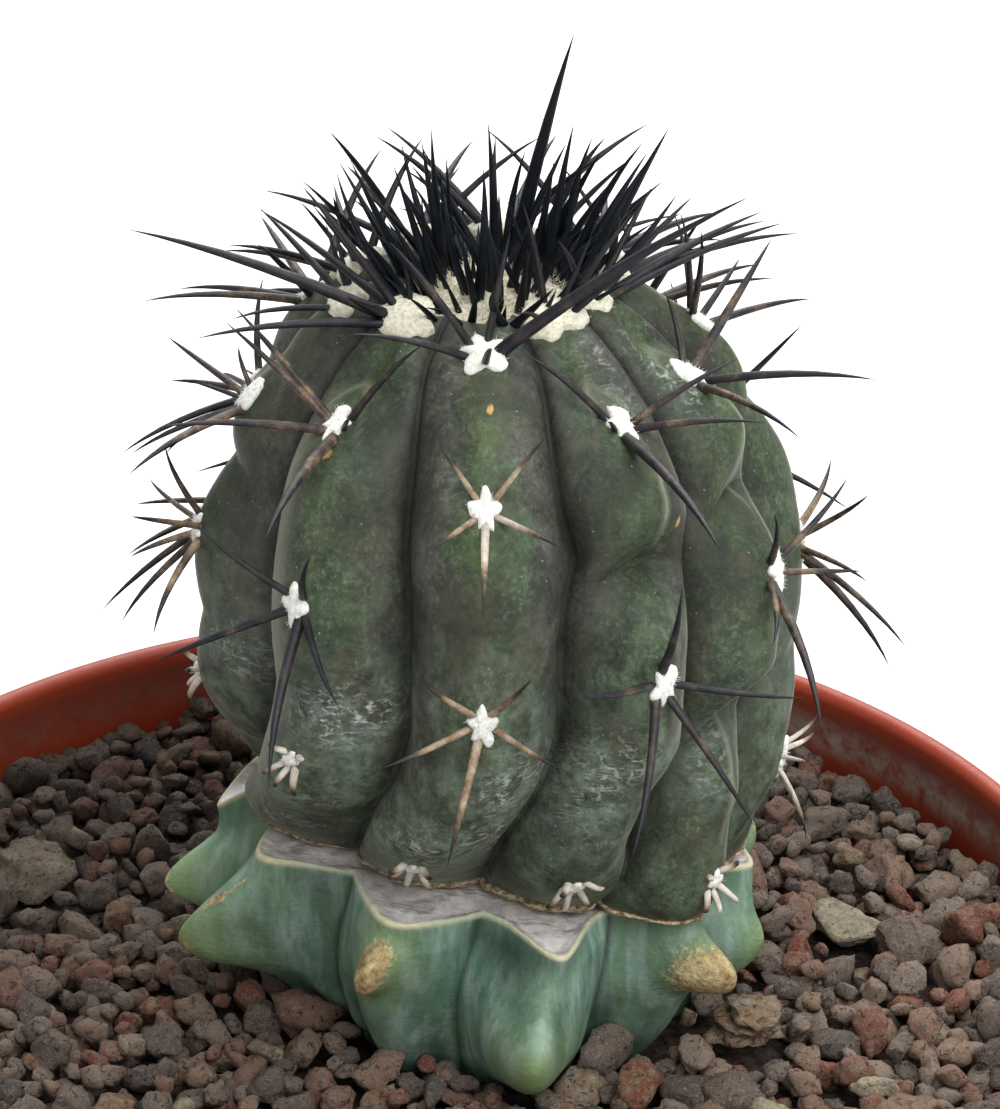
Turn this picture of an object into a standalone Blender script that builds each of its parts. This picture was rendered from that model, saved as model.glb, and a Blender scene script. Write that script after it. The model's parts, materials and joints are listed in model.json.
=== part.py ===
"""A grafted copiapoa in a round plastic pot filled with lava gravel.

The scene is in metres, +Z up, with its origin at the middle of the pot's base. Sizes below are in
millimetres and turn into metres where a mesh is made. The plant's own heights are measured from the
middle of the graft cut, and its azimuths in degrees from the front (-Y) towards +X.
"""

import math
import random

import bpy
import numpy as np
from mathutils.geometry import delaunay_2d_cdt

MM = 0.001
GAP = 0.3  # clearance between two pieces that touch

# Pot
POT_RADIUS = 80.0
POT_HEIGHT = 118.0
POT_WALL = 2.0
POT_FOOT_RADIUS = 55.0
POT_FOOT_WIDTH = 10.0
POT_FLOOR = 5.0
POT_RECESS = 3.0
COLLAR_BOTTOM = 97.0
LIP_RADIUS = 1.4
POT_SIDES = 48
DRAIN_RADIUS = 4.0
DRAIN_CIRCLE = 34.0
DRAIN_COUNT = 6

# Gravel
SOIL_HEIGHT = 109.5
STONE_SPACING = 11.0
STONE_HEIGHT = 7.5
STONE_SHOULDER = 3.7
GRAVEL_SIDES = 48

# Plant: where its axis stands, the height and the tilt of its graft cut
PLANT_X = 9.5
PLANT_Y = 15.0
CUT_HEIGHT = 128.7
CUT_LIFT = 1.0
CUT_SLOPE = -0.12

# Stem of the scion: a superellipse turned about a leaning axis
STEM_RADIUS = 33.0
STEM_MIDDLE = 27.0
STEM_RISE = 39.0
STEM_DROP = 36.0
STEM_POWER = 2.4
LEAN_FROM = 30.0
LEAN_SPAN = 34.0
LEAN_X = -1.5
LEAN_Y = 3.0
FOOT_X = 3.0
FOOT_Y = 1.5
DISH_RADIUS = 10.9
DISH_FLOOR = 60.0
RIB_AZIMUTHS = (-81, -38.5, -3, 31.5, 64.5, 101, 137, 173, 209, 243)
RIB_DRIFTS = (4, -4, 2, 5, 6, 0, 0, 0, 0, 0)  # how far each rib has turned at the shoulder
RIB_TWIST = -24.0
FURROW_DEPTH = 0.17
STEM_STEPS = (-0.6, -0.22, 0.22, 0.6, 1.0)
ROOT_STEPS = (-0.6, -0.25, 0.0, 0.25, 0.6, 1.0)

# Height of every areole, rib by rib
AREOLES = (
    (63.5, 54, 39, 20),
    (64.5, 57, 40, 22),
    (63, 52, 31, 8.5),
    (64.5, 57.5, 33, 8),
    (64.5, 58, 38.5, 6),
    (64, 58, 32, 10),
    (62, 55, 36, 14),
    (64, 56, 38, 20),
    (62.5, 53, 33, 12),
    (63, 59, 46, 32),
)
STUB_BELOW = 23.0  # areoles under this height carry only worn stubs
STRAIGHT_BELOW = 14.0  # spines shorter than this have no bend

# Spines of the areoles in front: clock angle (0 up the rib, 90 to the right), length and rise off the skin
FRONT_SPINES = {
    (0, 63.5): ((-108, 15, 35), (-125, 11, 20), (-75, 8, 50), (-60, 7, 60), (175, 12, 25)),
    (0, 54): ((-70, 6, 40), (-120, 10, 30), (-178, 13, 25), (-40, 12, 35), (120, 13, 30)),
    (0, 39): ((-50, 10, 30), (-75, 8, 35), (-140, 12, 30), (145, 12, 30), (40, 11, 30)),
    (1, 64.5): ((-120, 29, 25), (-175, 18, 25), (-112, 16, 30), (-85, 17, 55), (-20, 8, 60)),
    (1, 57): ((-65, 14, 35), (-53, 14, 38), (53, 17, 25), (-120, 17, 28), (175, 15, 20), (100, 4, 45)),
    (1, 40): ((-58, 14, 30), (30, 9, 30), (-123, 16, 30), (165, 17, 30), (112, 15, 30)),
    (2, 63): ((-53, 14, 40), (18, 12, 45), (-102, 14, 25), (80, 32, 35), (172, 9, 55)),
    (2, 52): ((-38, 7, 25), (42, 9, 25), (-132, 7, 25), (120, 9, 25), (180, 12, 25)),
    (2, 31): ((-40, 10, 25), (35, 9, 25), (-105, 11, 25), (108, 9, 25), (-165, 14, 30)),
    (3, 64.5): ((-5, 12, 50), (58, 9, 60), (102, 13, 45), (72, 13, 45), (-110, 10, 40)),
    (3, 57.5): ((-53, 16, 20), (85, 13, 30), (118, 13, 25), (-165, 21, 25), (-108, 4, 45)),
    (3, 33): ((-12, 14, 25), (100, 14, 30), (-75, 13, 15), (155, 17, 30), (-148, 17, 30)),
    (4, 64.5): ((125, 21, 30), (128, 23, 25), (88, 13, 50), (110, 15, 45), (-60, 12, 45)),
    (4, 58): ((-28, 12, 30), (72, 16, 35), (145, 20, 28), (-150, 20, 25), (152, 8, 20)),
    (4, 38.5): ((-30, 9, 30), (50, 11, 30), (118, 15, 35), (-170, 11, 30), (165, 22, 30)),
    (5, 64): ((170, 21, 25), (165, 18, 30), (145, 10, 45), (162, 10, 30), (-60, 12, 50)),
    (5, 58): ((20, 11, 45), (110, 10, 40), (60, 12, 30), (150, 15, 30), (-20, 11, 50)),
    (5, 32): ((-120, 16, 33), (-42, 12, 33), (-95, 10, 33), (70, 12, 30), (170, 20, 30)),
    (5, 10): ((38, 5, 35), (90, 7, 30), (165, 11, 30), (-60, 4, 35), (-125, 4, 30)),
    (9, 46): ((130, 15, 25), (170, 13, 20), (80, 11, 30), (-50, 12, 35), (-130, 12, 30)),
    (9, 32): ((130, 19, 25), (80, 13, 30), (100, 15, 20), (-60, 12, 30), (170, 14, 25)),
}
STUBS = ((-50, 4.5, 40), (55, 4, 40), (-130, 4, 35), (135, 5, 35))

# Rootstock: each rib's azimuth at the cut, then its knob's azimuth, radius, height, half width in
# steps, and its reach up and down
ROOT_RIBS = (
    (-95, -88, 38.0, -10.0, 0.48, 5.5, 5.0),
    (-58, -70, 38.5, -10.0, 0.48, 7.5, 5.0),
    (-23, -29, 32.4, -5.0, 0.36, 4.5, 4.5),
    (13, 6, 35.5, -13.4, 0.55, 7.5, 6.0),
    (47, 46, 35.6, -6.8, 0.42, 5.5, 4.8),
    (75, 66, 33.0, -10.0, 0.55, 7.5, 5.5),
    (110, 106, 34.0, -8.0, 0.55, 7.5, 5.5),
    (147, 145, 35.0, -11.0, 0.55, 7.5, 5.5),
    (185, 184, 34.5, -9.0, 0.55, 7.5, 5.5),
    (226, 228, 35.5, -12.0, 0.55, 7.5, 5.5),
)
# How far a rib's end stands out at the cut, and how far it is bevelled down there
ROOT_EDGES = {0: (3.0, 3.9), 3: (0.8, 0.8)}
EDGE_FADE = 7.0
ROOT_CREST = ((-40, 12.0), (-28, 19.0), (-19, 25.5), (-14, 28.0), (-8, 30.0), (0, 29.6))
ROOT_FURROW = ((-40, 10.5), (-28, 17.5), (-19, 22.5), (-14, 23.5), (-8, 24.5), (0, 24.0))
ROOT_HEIGHTS = (-40, -31, -23, -18.5, -16, -13.5, -11.5, -9.5, -7, -4.5, -2, -0.6)

# Crown tuft: the spines seen in front, each from its root (x, y) to its tip (x, y, z) off the tuft's middle
CROWN_RADIUS = 9.6
CROWN_HEIGHT = 4.6
CROWN_FRONT = (
    (2, 6, 9, 6, 30),
    (6, 3, 9, 2, 21.5),
    (8, 3, 11, 2, 20),
    (9, 2, 19, 2, 21),
    (8.5, 4, 16.5, 5.5, 18),
    (9, 1, 17, 2, 17.5),
    (9, -1, 20, 2, 13.5),
    (3.5, 4.5, 7, 6.5, 15.5),
    (2, 5.5, 4, 7, 16.5),
    (1, 1.5, 0, 1, 22),
    (-1.5, -4, -0.5, -5.5, 19.5),
    (-4, 4.5, -6, 4.5, 20),
    (-4.5, 2.5, -7, 3, 19),
    (-3.5, 7, -4.5, 7.5, 15.5),
    (0.5, 7, -7, 8.5, 16),
    (-3, 5, -10, 7, 13),
    (-4, 1, -8.5, 1, 13),
    (-5, -1, -7, -1, 14.5),
    (1, -2, -4.5, -4.5, 14.5),
    (-7, 1.5, -14.5, 1.5, 17.5),
    (-8, -1, -16, 1, 16.5),
    (-8.5, 0.5, -19.5, -1.5, 16.5),
    (-7.5, 4, -19.5, 5, 12.5),
    (-7.5, -3, -18.5, -2, 14),
    (-6.5, 5.5, -14, 7, 10.5),
    (-5, 7.5, -13.5, 9, 11),
    (4.5, -3, -0.5, -4, 11.5),
    (7, -1, 2, 1.5, 13),
    (4.5, 7, 12, 3, 18),
    (6, 6.5, 14.5, 8.5, 13.5),
)
CROWN_FILL = 18
CROWN_CLEARANCE = 2.6
CROWN_SEED = 11


def clear_scene():
    for item in list(bpy.data.objects):
        bpy.data.objects.remove(item, do_unlink=True)


def make_material(name, colour, roughness):
    material = bpy.data.materials.new(name)
    material.use_nodes = True
    shader = material.node_tree.nodes["Principled BSDF"]
    shader.inputs["Base Color"].default_value = (*colour, 1.0)
    shader.inputs["Roughness"].default_value = roughness
    shader.inputs["Metallic"].default_value = 0.0
    return material


def add_mesh(name, points, faces, material, corner=40.0):
    """An object from points in millimetres, shaded smooth but for edges sharper than the corner angle."""
    mesh = bpy.data.meshes.new(name)
    mesh.from_pydata((np.asarray(points, float) * MM).tolist(), [], [list(face) for face in faces])
    mesh.materials.append(material)
    mesh.shade_smooth()
    mesh.set_sharp_from_angle(angle=math.radians(corner))
    made = bpy.data.objects.new(name, mesh)
    bpy.context.scene.collection.objects.link(made)
    return made


def ring_faces(lower, upper, count):
    """Triangles between two rings of the same count, given by the index of each ring's first point."""
    faces = []
    for i in range(count):
        j = (i + 1) % count
        faces.append((lower + i, lower + j, upper + i))
        faces.append((lower + j, upper + j, upper + i))
    return faces


def closed_rings(rings, first, last):
    """A closed skin through rings from bottom to top, with a single point at each end."""
    count = len(rings[0])
    points = [first]
    for ring in rings:
        points.extend(ring)
    points.append(last)
    faces = [(0, 1 + (i + 1) % count, 1 + i) for i in range(count)]
    for k in range(len(rings) - 1):
        faces += ring_faces(1 + k * count, 1 + (k + 1) * count, count)
    top = 1 + (len(rings) - 1) * count
    faces += [(len(points) - 1, top + i, top + (i + 1) % count) for i in range(count)]
    return np.array(points), faces


def fuse(target, pieces):
    """Joins the pieces to the target with one union, and removes them."""
    group = bpy.data.collections.new(target.name + "_pieces")
    bpy.context.scene.collection.children.link(group)
    for piece in pieces:
        bpy.context.scene.collection.objects.unlink(piece)
        group.objects.link(piece)
    union = target.modifiers.new("join", "BOOLEAN")
    union.operation = "UNION"
    union.operand_type = "COLLECTION"
    union.collection = group
    union.solver = "MANIFOLD"
    bpy.context.view_layer.update()
    graph = bpy.context.evaluated_depsgraph_get()
    joined = bpy.data.meshes.new_from_object(target.evaluated_get(graph))
    target.modifiers.clear()
    target.data = joined
    for piece in pieces:
        bpy.data.objects.remove(piece, do_unlink=True)
    bpy.data.collections.remove(group)


def turned(name, profile, sides, material):
    """A solid of revolution from (radius, height) points that start and end on the axis, going outwards."""
    angles = np.arange(sides) * 2 * math.pi / sides
    rings = []
    for radius, height in profile[1:-1]:
        rings.append([(radius * math.cos(a), radius * math.sin(a), height) for a in angles])
    points, faces = closed_rings(rings, (0, 0, profile[0][1]), (0, 0, profile[-1][1]))
    return add_mesh(name, points, faces, material)


def pot_inside():
    """The pot's inner outline, from the top of the wall down to the middle of the floor."""
    top = POT_RADIUS - 2 * LIP_RADIUS
    throat = POT_RADIUS - POT_WALL - 5.5
    foot = POT_FOOT_RADIUS
    return [
        (top, POT_HEIGHT - 3.0),
        (top - 0.3, COLLAR_BOTTOM + 1.8),
        (throat, COLLAR_BOTTOM),
        (throat - 0.7, COLLAR_BOTTOM - 1.5),
        (foot - 0.8, POT_FLOOR + 1.5),
        (foot - 2.2, POT_FLOOR),
        (0, POT_FLOOR),
    ]


def pot_profile():
    foot = POT_FOOT_RADIUS
    shoulder = POT_RADIUS - 6.0
    outside = [
        (0, POT_RECESS),
        (foot - POT_FOOT_WIDTH - 1.5, POT_RECESS),
        (foot - POT_FOOT_WIDTH, 0),
        (foot, 0),
        (foot + 1.5, 1.5),
        (shoulder, COLLAR_BOTTOM - 3.0),
        (shoulder + 1.0, COLLAR_BOTTOM - 1.5),
        (POT_RADIUS - 1.0, COLLAR_BOTTOM),
    ]
    lip = []
    for step in range(5):
        angle = math.radians(45 * step)
        across = POT_RADIUS - LIP_RADIUS + LIP_RADIUS * math.cos(angle)
        lip.append((across, POT_HEIGHT - LIP_RADIUS + LIP_RADIUS * math.sin(angle)))
    return outside + lip + pot_inside()


def build_pot(material):
    pot = turned("pot", pot_profile(), POT_SIDES, material)
    places = [(0.0, 0.0)]
    for k in range(DRAIN_COUNT):
        angle = 2 * math.pi * k / DRAIN_COUNT
        places.append((DRAIN_CIRCLE * math.cos(angle), DRAIN_CIRCLE * math.sin(angle)))
    group = bpy.data.collections.new("drain_cutters")
    bpy.context.scene.collection.children.link(group)
    for k, (x, y) in enumerate(places):
        ring = [(0, POT_RECESS - 2), (DRAIN_RADIUS, POT_RECESS - 2), (DRAIN_RADIUS, POT_FLOOR + 2)]
        cutter = turned(f"drain_cutter_{k}", ring + [(0, POT_FLOOR + 2)], 10, material)
        cutter.location = (x * MM, y * MM, 0)
        cutter.hide_render = True
        cutter.display_type = "WIRE"
        bpy.context.scene.collection.objects.unlink(cutter)
        group.objects.link(cutter)
    cut = pot.modifiers.new("drain holes", "BOOLEAN")
    cut.operation = "DIFFERENCE"
    cut.operand_type = "COLLECTION"
    cut.collection = group
    cut.solver = "EXACT"
    return pot


def cut_height(x):
    """How far the slanting graft cut lies above or below its middle height."""
    return CUT_LIFT + CUT_SLOPE * x


def to_scene(points):
    return np.asarray(points, float) + (PLANT_X, PLANT_Y, CUT_HEIGHT)


def outline_at(height, outline):
    heights = [h for h, _ in outline]
    radii = [r for _, r in outline]
    return np.interp(height, heights, radii)


def root_ring(height, grow=0.0):
    """The rootstock's star outline at one height, as many points as the ribs times their steps."""
    crest = outline_at(height, ROOT_CREST)
    furrow = outline_at(height, ROOT_FURROW)
    count = len(ROOT_RIBS)
    turn = min(1.0, max(0.0, -height / 10.0))
    azimuths = [rib[0] + (rib[1] - rib[0]) * turn for rib in ROOT_RIBS]
    ring = []
    for k, (_, _, knob_radius, knob_height, width, above, below) in enumerate(ROOT_RIBS):
        here = azimuths[k]
        after = azimuths[(k + 1) % count] + (360 if k == count - 1 else 0)
        before = azimuths[k - 1] - (360 if k == 0 else 0)
        near = max(0.0, 1 - abs(height - knob_height) / (above if height > knob_height else below))
        knob = (knob_radius - outline_at(knob_height, ROOT_CREST)) * near**1.3
        edge = ROOT_EDGES.get(k, (0.0, 0.0))[0] * math.exp(height / EDGE_FADE)
        for step in ROOT_STEPS:
            half = (after - here) / 2 if step > 0 else (here - before) / 2
            angle = math.radians(here + step * half)
            side = abs(step)
            radius = furrow + (crest - furrow) * (1 - side) ** 1.15 + grow
            radius += knob * math.exp(-((side / width) ** 2)) + edge * math.exp(-((side / 0.4) ** 2))
            ring.append((radius * math.sin(angle), -radius * math.cos(angle)))
    return ring


def edge_drops():
    """How far the cut is bevelled down at every point of the rootstock's outline."""
    drops = []
    for k in range(len(ROOT_RIBS)):
        drop = ROOT_EDGES.get(k, (0.0, 0.0))[1]
        drops += [drop * math.exp(-((step / 0.35) ** 2)) for step in ROOT_STEPS]
    return drops


def build_rootstock(material):
    rings = []
    drops = edge_drops()
    for height in ROOT_HEIGHTS:
        fade = max(0.0, 1 + height / 12.0)
        ring = zip(root_ring(height), drops)
        rings.append([(x, y, height + fade * (cut_height(x) - drop)) for (x, y), drop in ring])
    for share, bevel in ((0.96, 0.9), (0.78, 0.0)):
        ring = zip(root_ring(0), drops)
        rings.append([(share * x, share * y, cut_height(share * x) - bevel * drop) for (x, y), drop in ring])
    points, faces = closed_rings(rings, (0, 0, ROOT_HEIGHTS[0]), (0, 0, cut_height(0)))
    return add_mesh("rootstock", to_scene(points), faces, material)


def stone_centres(reach):
    """Jittered hexagonal places of the gravel's stones, as (x, y, lift)."""
    draw = random.Random(5)
    row_height = STONE_SPACING * math.sqrt(3) / 2
    rows = int(reach / row_height) + 2
    centres = []
    for row in range(-rows, rows + 1):
        for k in range(-rows, rows + 1):
            x = (k + 0.5 * (row % 2)) * STONE_SPACING + draw.uniform(-1.6, 1.6)
            y = row * row_height + draw.uniform(-1.6, 1.6)
            lift = draw.uniform(-0.9, 0.9)
            if math.hypot(x, y) < reach:
                centres.append((x, y, lift))
    return centres


def stone_height(x, y, centres):
    """Height of the gravel's relief: a dome over each stone, and none beside the plant and the wall."""
    near = min(centres, key=lambda c: (c[0] - x) ** 2 + (c[1] - y) ** 2)
    share = min(1.0, math.hypot(near[0] - x, near[1] - y) / (0.58 * STONE_SPACING))
    dome = STONE_HEIGHT * (math.sqrt(1 - share**2) - 0.7) + near[2]
    plant = math.hypot(x - PLANT_X, y - PLANT_Y)
    beside_plant = min(1.0, max(0.0, (plant - 29.0) / 12.0))
    return dome * beside_plant


def is_inside(x, y, loop):
    """Whether a place lies inside a closed loop of (x, y) corners."""
    inside = False
    for k, (x1, y1) in enumerate(loop):
        x2, y2 = loop[k - 1]
        if (y1 > y) != (y2 > y) and x < x1 + (x2 - x1) * (y - y1) / (y2 - y1):
            inside = not inside
    return inside


def gravel_top(outer, hole):
    """Points and triangles of the gravel's surface between its outer edge and the hole for the plant."""
    draw = random.Random(8)
    edge = math.hypot(*outer[0])
    centres = stone_centres(edge)
    flat = list(outer) + list(hole)
    spots = []
    for x, y, _ in centres:
        turn = draw.uniform(0, math.pi)
        spots.append((x, y))
        for k in range(5):
            angle = turn + 2 * math.pi * k / 5
            spots.append((x + STONE_SHOULDER * math.cos(angle), y + STONE_SHOULDER * math.sin(angle)))
    mesh = delaunay_2d_cdt([(x, y) for x, y, _ in centres], [], [], 0, 1e-5, True)
    for corners in list(mesh[2]) + list(mesh[1]):
        spots.append(tuple(sum(mesh[0][k][axis] for k in corners) / len(corners) for axis in (0, 1)))
    for spot in spots:
        plant = math.hypot(spot[0] - PLANT_X, spot[1] - PLANT_Y)
        if math.hypot(*spot) < edge - 2.5 and plant > 30.0:
            flat.append(spot)
    first = len(outer)
    edges = [(first + k, first + (k + 1) % len(hole)) for k in range(len(hole))]
    found = delaunay_2d_cdt(flat, edges, [], 0, 1e-5, True)
    places, triangles, origins = found[0], found[2], found[3]
    in_hole = {k for k, source in enumerate(origins) if source and first <= source[0] < first + len(hole)}
    on_rim = {k for k, source in enumerate(origins) if source and source[0] < first}
    heights = []
    for k, place in enumerate(places):
        fixed = k in in_hole or k in on_rim
        heights.append(0.0 if fixed else stone_height(place[0], place[1], centres))
    order = {source[0]: k for k, source in enumerate(origins) if source}
    faces = []
    for face in triangles:
        middle = sum((places[k] for k in face), places[0] * 0) / 3
        if not (all(k in in_hole for k in face) and is_inside(middle[0], middle[1], hole)):
            faces.append(tuple(face))
    points = [(place[0], place[1], SOIL_HEIGHT + height) for place, height in zip(places, heights)]
    rim_loop = [order[k] for k in range(first)]
    hole_loop = [order[first + k] for k in range(len(hole))]
    return points, faces, rim_loop, hole_loop


def join_loops(faces, upper, lower):
    """A wall of triangles between two loops of point numbers, facing right of the way they run."""
    count = len(upper)
    for i in range(count):
        j = (i + 1) % count
        faces.append((lower[i], lower[j], upper[i]))
        faces.append((lower[j], upper[j], upper[i]))


def build_gravel(material):
    shrink = math.cos(math.pi / POT_SIDES)
    wall = [(r * shrink - GAP - 0.1, h + GAP + 0.1) for r, h in pot_inside()[1:-1]]
    edge = outline_at(SOIL_HEIGHT, sorted((h, r) for r, h in pot_inside()[:2])) * shrink - GAP
    angles = [2 * math.pi * k / GRAVEL_SIDES for k in range(GRAVEL_SIDES)]
    outer = [(edge * math.cos(a), edge * math.sin(a)) for a in angles]
    soil = SOIL_HEIGHT - CUT_HEIGHT
    grow = GAP + 0.2
    hole = [(x + PLANT_X, y + PLANT_Y) for x, y in root_ring(soil, grow)]
    points, faces, rim_loop, hole_loop = gravel_top(outer, hole)

    above = rim_loop
    for radius, height in wall:
        loop = list(range(len(points), len(points) + GRAVEL_SIDES))
        points += [(radius * math.cos(a), radius * math.sin(a), height) for a in angles]
        join_loops(faces, above, loop)
        above = loop
    points.append((0, 0, wall[-1][1]))
    for i in range(GRAVEL_SIDES):
        faces.append((len(points) - 1, above[(i + 1) % GRAVEL_SIDES], above[i]))

    above = hole_loop
    for height in [h for h in ROOT_HEIGHTS[::-1] if h < soil - 1]:
        loop = list(range(len(points), len(points) + len(hole)))
        points += [(x + PLANT_X, y + PLANT_Y, height + CUT_HEIGHT) for x, y in root_ring(height, grow)]
        join_loops(faces, above[::-1], loop[::-1])
        above = loop
    points = [tuple(point) for point in points]
    points.append((PLANT_X, PLANT_Y, ROOT_HEIGHTS[0] + CUT_HEIGHT - 2 * GAP))
    for i in range(len(hole)):
        faces.append((len(points) - 1, above[i], above[(i + 1) % len(hole)]))
    return add_mesh("gravel", points, faces, material, corner=30.0)


def stem_radius(height):
    reach = np.where(height > STEM_MIDDLE, STEM_RISE, STEM_DROP)
    share = np.clip(np.abs(height - STEM_MIDDLE) / reach, 0, 1)
    return STEM_RADIUS * (1 - share**STEM_POWER) ** (1 / STEM_POWER)


def stem_height(radius):
    """The height at which the closing top has this radius."""
    return STEM_MIDDLE + STEM_RISE * (1 - (radius / STEM_RADIUS) ** STEM_POWER) ** (1 / STEM_POWER)


def stem_centre(height):
    rise = max(0.0, (height - LEAN_FROM) / LEAN_SPAN) ** 1.5
    low = max(0.0, 1 - height / 12.0)
    return LEAN_X * rise + FOOT_X * low, LEAN_Y * rise + FOOT_Y * low


def rib_azimuth(rib, height):
    """A rib's azimuth at a height. Rib numbers run on past the last one, a full turn further."""
    turns, place = divmod(rib, len(RIB_AZIMUTHS))
    drift = RIB_DRIFTS[place] * min(1.0, max(0.0, (height - 33.0) / 24.0))
    twist = RIB_TWIST * max(0.0, 1 - height / 24.0) ** 1.3
    return RIB_AZIMUTHS[place] + 360 * turns + drift + twist


def rib_swell(rib, height):
    """Extra radius of a rib's crest over its areoles."""
    heights = AREOLES[rib % len(AREOLES)]
    return 0.9 * sum(math.exp(-(((height - h) / 5.0) ** 2)) for h in heights)


def skin_point(rib, step, height, radius=None):
    """A point of the stem's skin, step going from -1 to 1 between the furrows on both sides of a rib."""
    crest = float(stem_radius(height)) if radius is None else radius
    here = rib_azimuth(rib, height)
    half = (rib_azimuth(rib + 1, height) - here) / 2 if step > 0 else (here - rib_azimuth(rib - 1, height)) / 2
    angle = math.radians(here + step * half)
    side = abs(step)
    depth = FURROW_DEPTH * (0.75 * side**1.7 + 0.25 * side**8)
    swell = rib_swell(rib, height) * (1 - side**2) ** 2 * min(1.0, crest / 20.0)
    reach = crest * (1 - depth) + swell
    x, y = stem_centre(height)
    x += reach * math.sin(angle)
    y -= reach * math.cos(angle)
    fade = max(0.0, 1 - height / 20.0)
    return x, y, height + fade * cut_height(x)


def stem_ring(height, radius=None):
    return [skin_point(k, s, height, radius) for k in range(len(RIB_AZIMUTHS)) for s in STEM_STEPS]


def build_stem(material):
    heights = [GAP, 2.5, 6, 10, 14, 18.5, 23, 28, 33, 38, 42.5, 47, 51, 54.5, 57.5, 60]
    rings = [stem_ring(height) for height in heights]
    for radius in (16.5, 14.0, 12.0):
        rings.append(stem_ring(float(stem_height(radius)), radius))
    middle_x, middle_y = stem_centre(DISH_FLOOR)
    for radius, height in ((DISH_RADIUS + 0.8, stem_height(12.0) - 0.6), (DISH_RADIUS, DISH_FLOOR)):
        ring = []
        for k in range(len(RIB_AZIMUTHS)):
            for step in STEM_STEPS:
                x, y, _ = skin_point(k, step, 64.0, 12.0)
                angle = math.atan2(x - middle_x, middle_y - y)
                ring.append((middle_x + radius * math.sin(angle), middle_y - radius * math.cos(angle), height))
        rings.append(ring)
    foot_x, foot_y = stem_centre(0)
    first = (foot_x, foot_y, GAP + cut_height(foot_x))
    points, faces = closed_rings(rings, first, (middle_x, middle_y, DISH_FLOOR))
    return add_mesh("scion", to_scene(points), faces, material)


def unit(vector):
    return vector / np.linalg.norm(vector)


def areole_frame(rib, height):
    """Place on the crest, and the directions out of the skin, up the rib and to the right."""
    place = np.array(skin_point(rib, 0, height))
    up = unit(np.array(skin_point(rib, 0, height + 0.8)) - np.array(skin_point(rib, 0, height - 0.8)))
    angle = math.radians(rib_azimuth(rib, height))
    right = np.array((math.cos(angle), math.sin(angle), 0.0))
    out = unit(np.cross(right, up))
    return place, out, up, right


def spine_path(frame, clock, length, rise):
    """Root, elbow and tip of a spine that leaves the skin at its pad's edge and curves back a little."""
    place, out, up, right = frame
    clock = math.radians(clock)
    along = math.cos(clock) * up + math.sin(clock) * right
    way = math.cos(math.radians(rise)) * along + math.sin(math.radians(rise)) * out
    base = place + 1.0 * along
    root = base - 1.6 * unit(way + out)
    elbow = base + 0.5 * length * way + 0.035 * length * out
    return root, elbow, base + length * way


def spine_radius(length):
    return 0.42 + 0.018 * length


def add_spine(path, radius, material):
    """A three-sided needle, with one bend if it is long."""
    root, elbow, tip = path
    way = unit(tip - root)
    side = unit(np.cross(way, (0.31, 0.22, 0.93)))
    over = np.cross(way, side)
    bends = [(root, radius)]
    if np.linalg.norm(tip - root) > STRAIGHT_BELOW:
        bends.append((elbow, 0.72 * radius))
    points = []
    for place, wide in bends:
        corners = [math.radians(120 * k) for k in range(3)]
        points += [place + wide * (math.cos(a) * side + math.sin(a) * over) for a in corners]
    last = len(points) - 3
    faces = [(0, 2, 1)] + [(last + k, last + (k + 1) % 3, last + 3) for k in range(3)]
    if last:
        faces += ring_faces(0, last, 3)
    return add_mesh("spine", to_scene(points + [tip]), faces, material)


def add_pad(frame, wide, tall, material):
    """A low six-sided dome of wool, sunk into the skin."""
    place, out, up, right = frame
    rings = []
    for share, lift in ((0.75, -1.2), (1.0, 0.2)):
        corners = [math.radians(60 * k) for k in range(6)]
        spread = [share * (wide * math.cos(a) * right + tall * math.sin(a) * up) for a in corners]
        rings.append([place + offset + lift * out for offset in spread])
    points, faces = closed_rings(rings, place - 1.3 * out, place + 1.0 * out)
    return add_mesh("pad", to_scene(points), faces, material)


def side_spines():
    """Every spine outside the crown tuft, as (root, elbow, tip) and its root's radius."""
    draw = random.Random(3)
    found = []
    for rib, heights in enumerate(AREOLES):
        for height in heights:
            frame = areole_frame(rib, height)
            if (rib, height) in FRONT_SPINES:
                pattern = FRONT_SPINES[rib, height]
            elif height < STUB_BELOW:
                pattern = STUBS
            else:
                pattern = []
                for clock in (-52, 52, -118, 118, 180):
                    length = draw.uniform(13, 20)
                    pattern.append((clock + draw.uniform(-14, 14), length, draw.uniform(24, 40)))
            for clock, length, rise in pattern:
                found.append((spine_path(frame, clock, length, rise), spine_radius(length)))
    return found


def build_scion(skin, spines):
    scion = build_stem(skin)
    pieces = []
    for rib, heights in enumerate(AREOLES):
        for height in heights:
            frame = areole_frame(rib, height)
            wide, tall = (3.2, 1.6) if height > 60 else (1.9, 2.3)
            pieces.append(add_pad(frame, wide, tall, skin))
    for path, radius in spines:
        pieces.append(add_spine(path, radius, skin))
    fuse(scion, pieces)
    return scion


def path_points(path):
    """Points along a spine, close enough together to measure clearance with."""
    root, elbow, tip = path
    shares = np.linspace(0, 1, 12)[:, None]
    return np.vstack([root + shares * (elbow - root), elbow + shares * (tip - elbow)])


def crown_spine(middle, root_x, root_y, tip, turn):
    """A tuft spine from its root in the wool to its tip, turned about the root's upright line."""
    root = np.array((root_x, root_y, 0.8))
    way = np.array(tip, float) - root
    across = way[0] * math.cos(turn) - way[1] * math.sin(turn)
    along = way[0] * math.sin(turn) + way[1] * math.cos(turn)
    tip = root + (across, along, way[2])
    elbow = 0.5 * (root + tip) + (0, 0, 0.06 * math.hypot(across, along))
    return middle + root, middle + elbow, middle + tip


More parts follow.
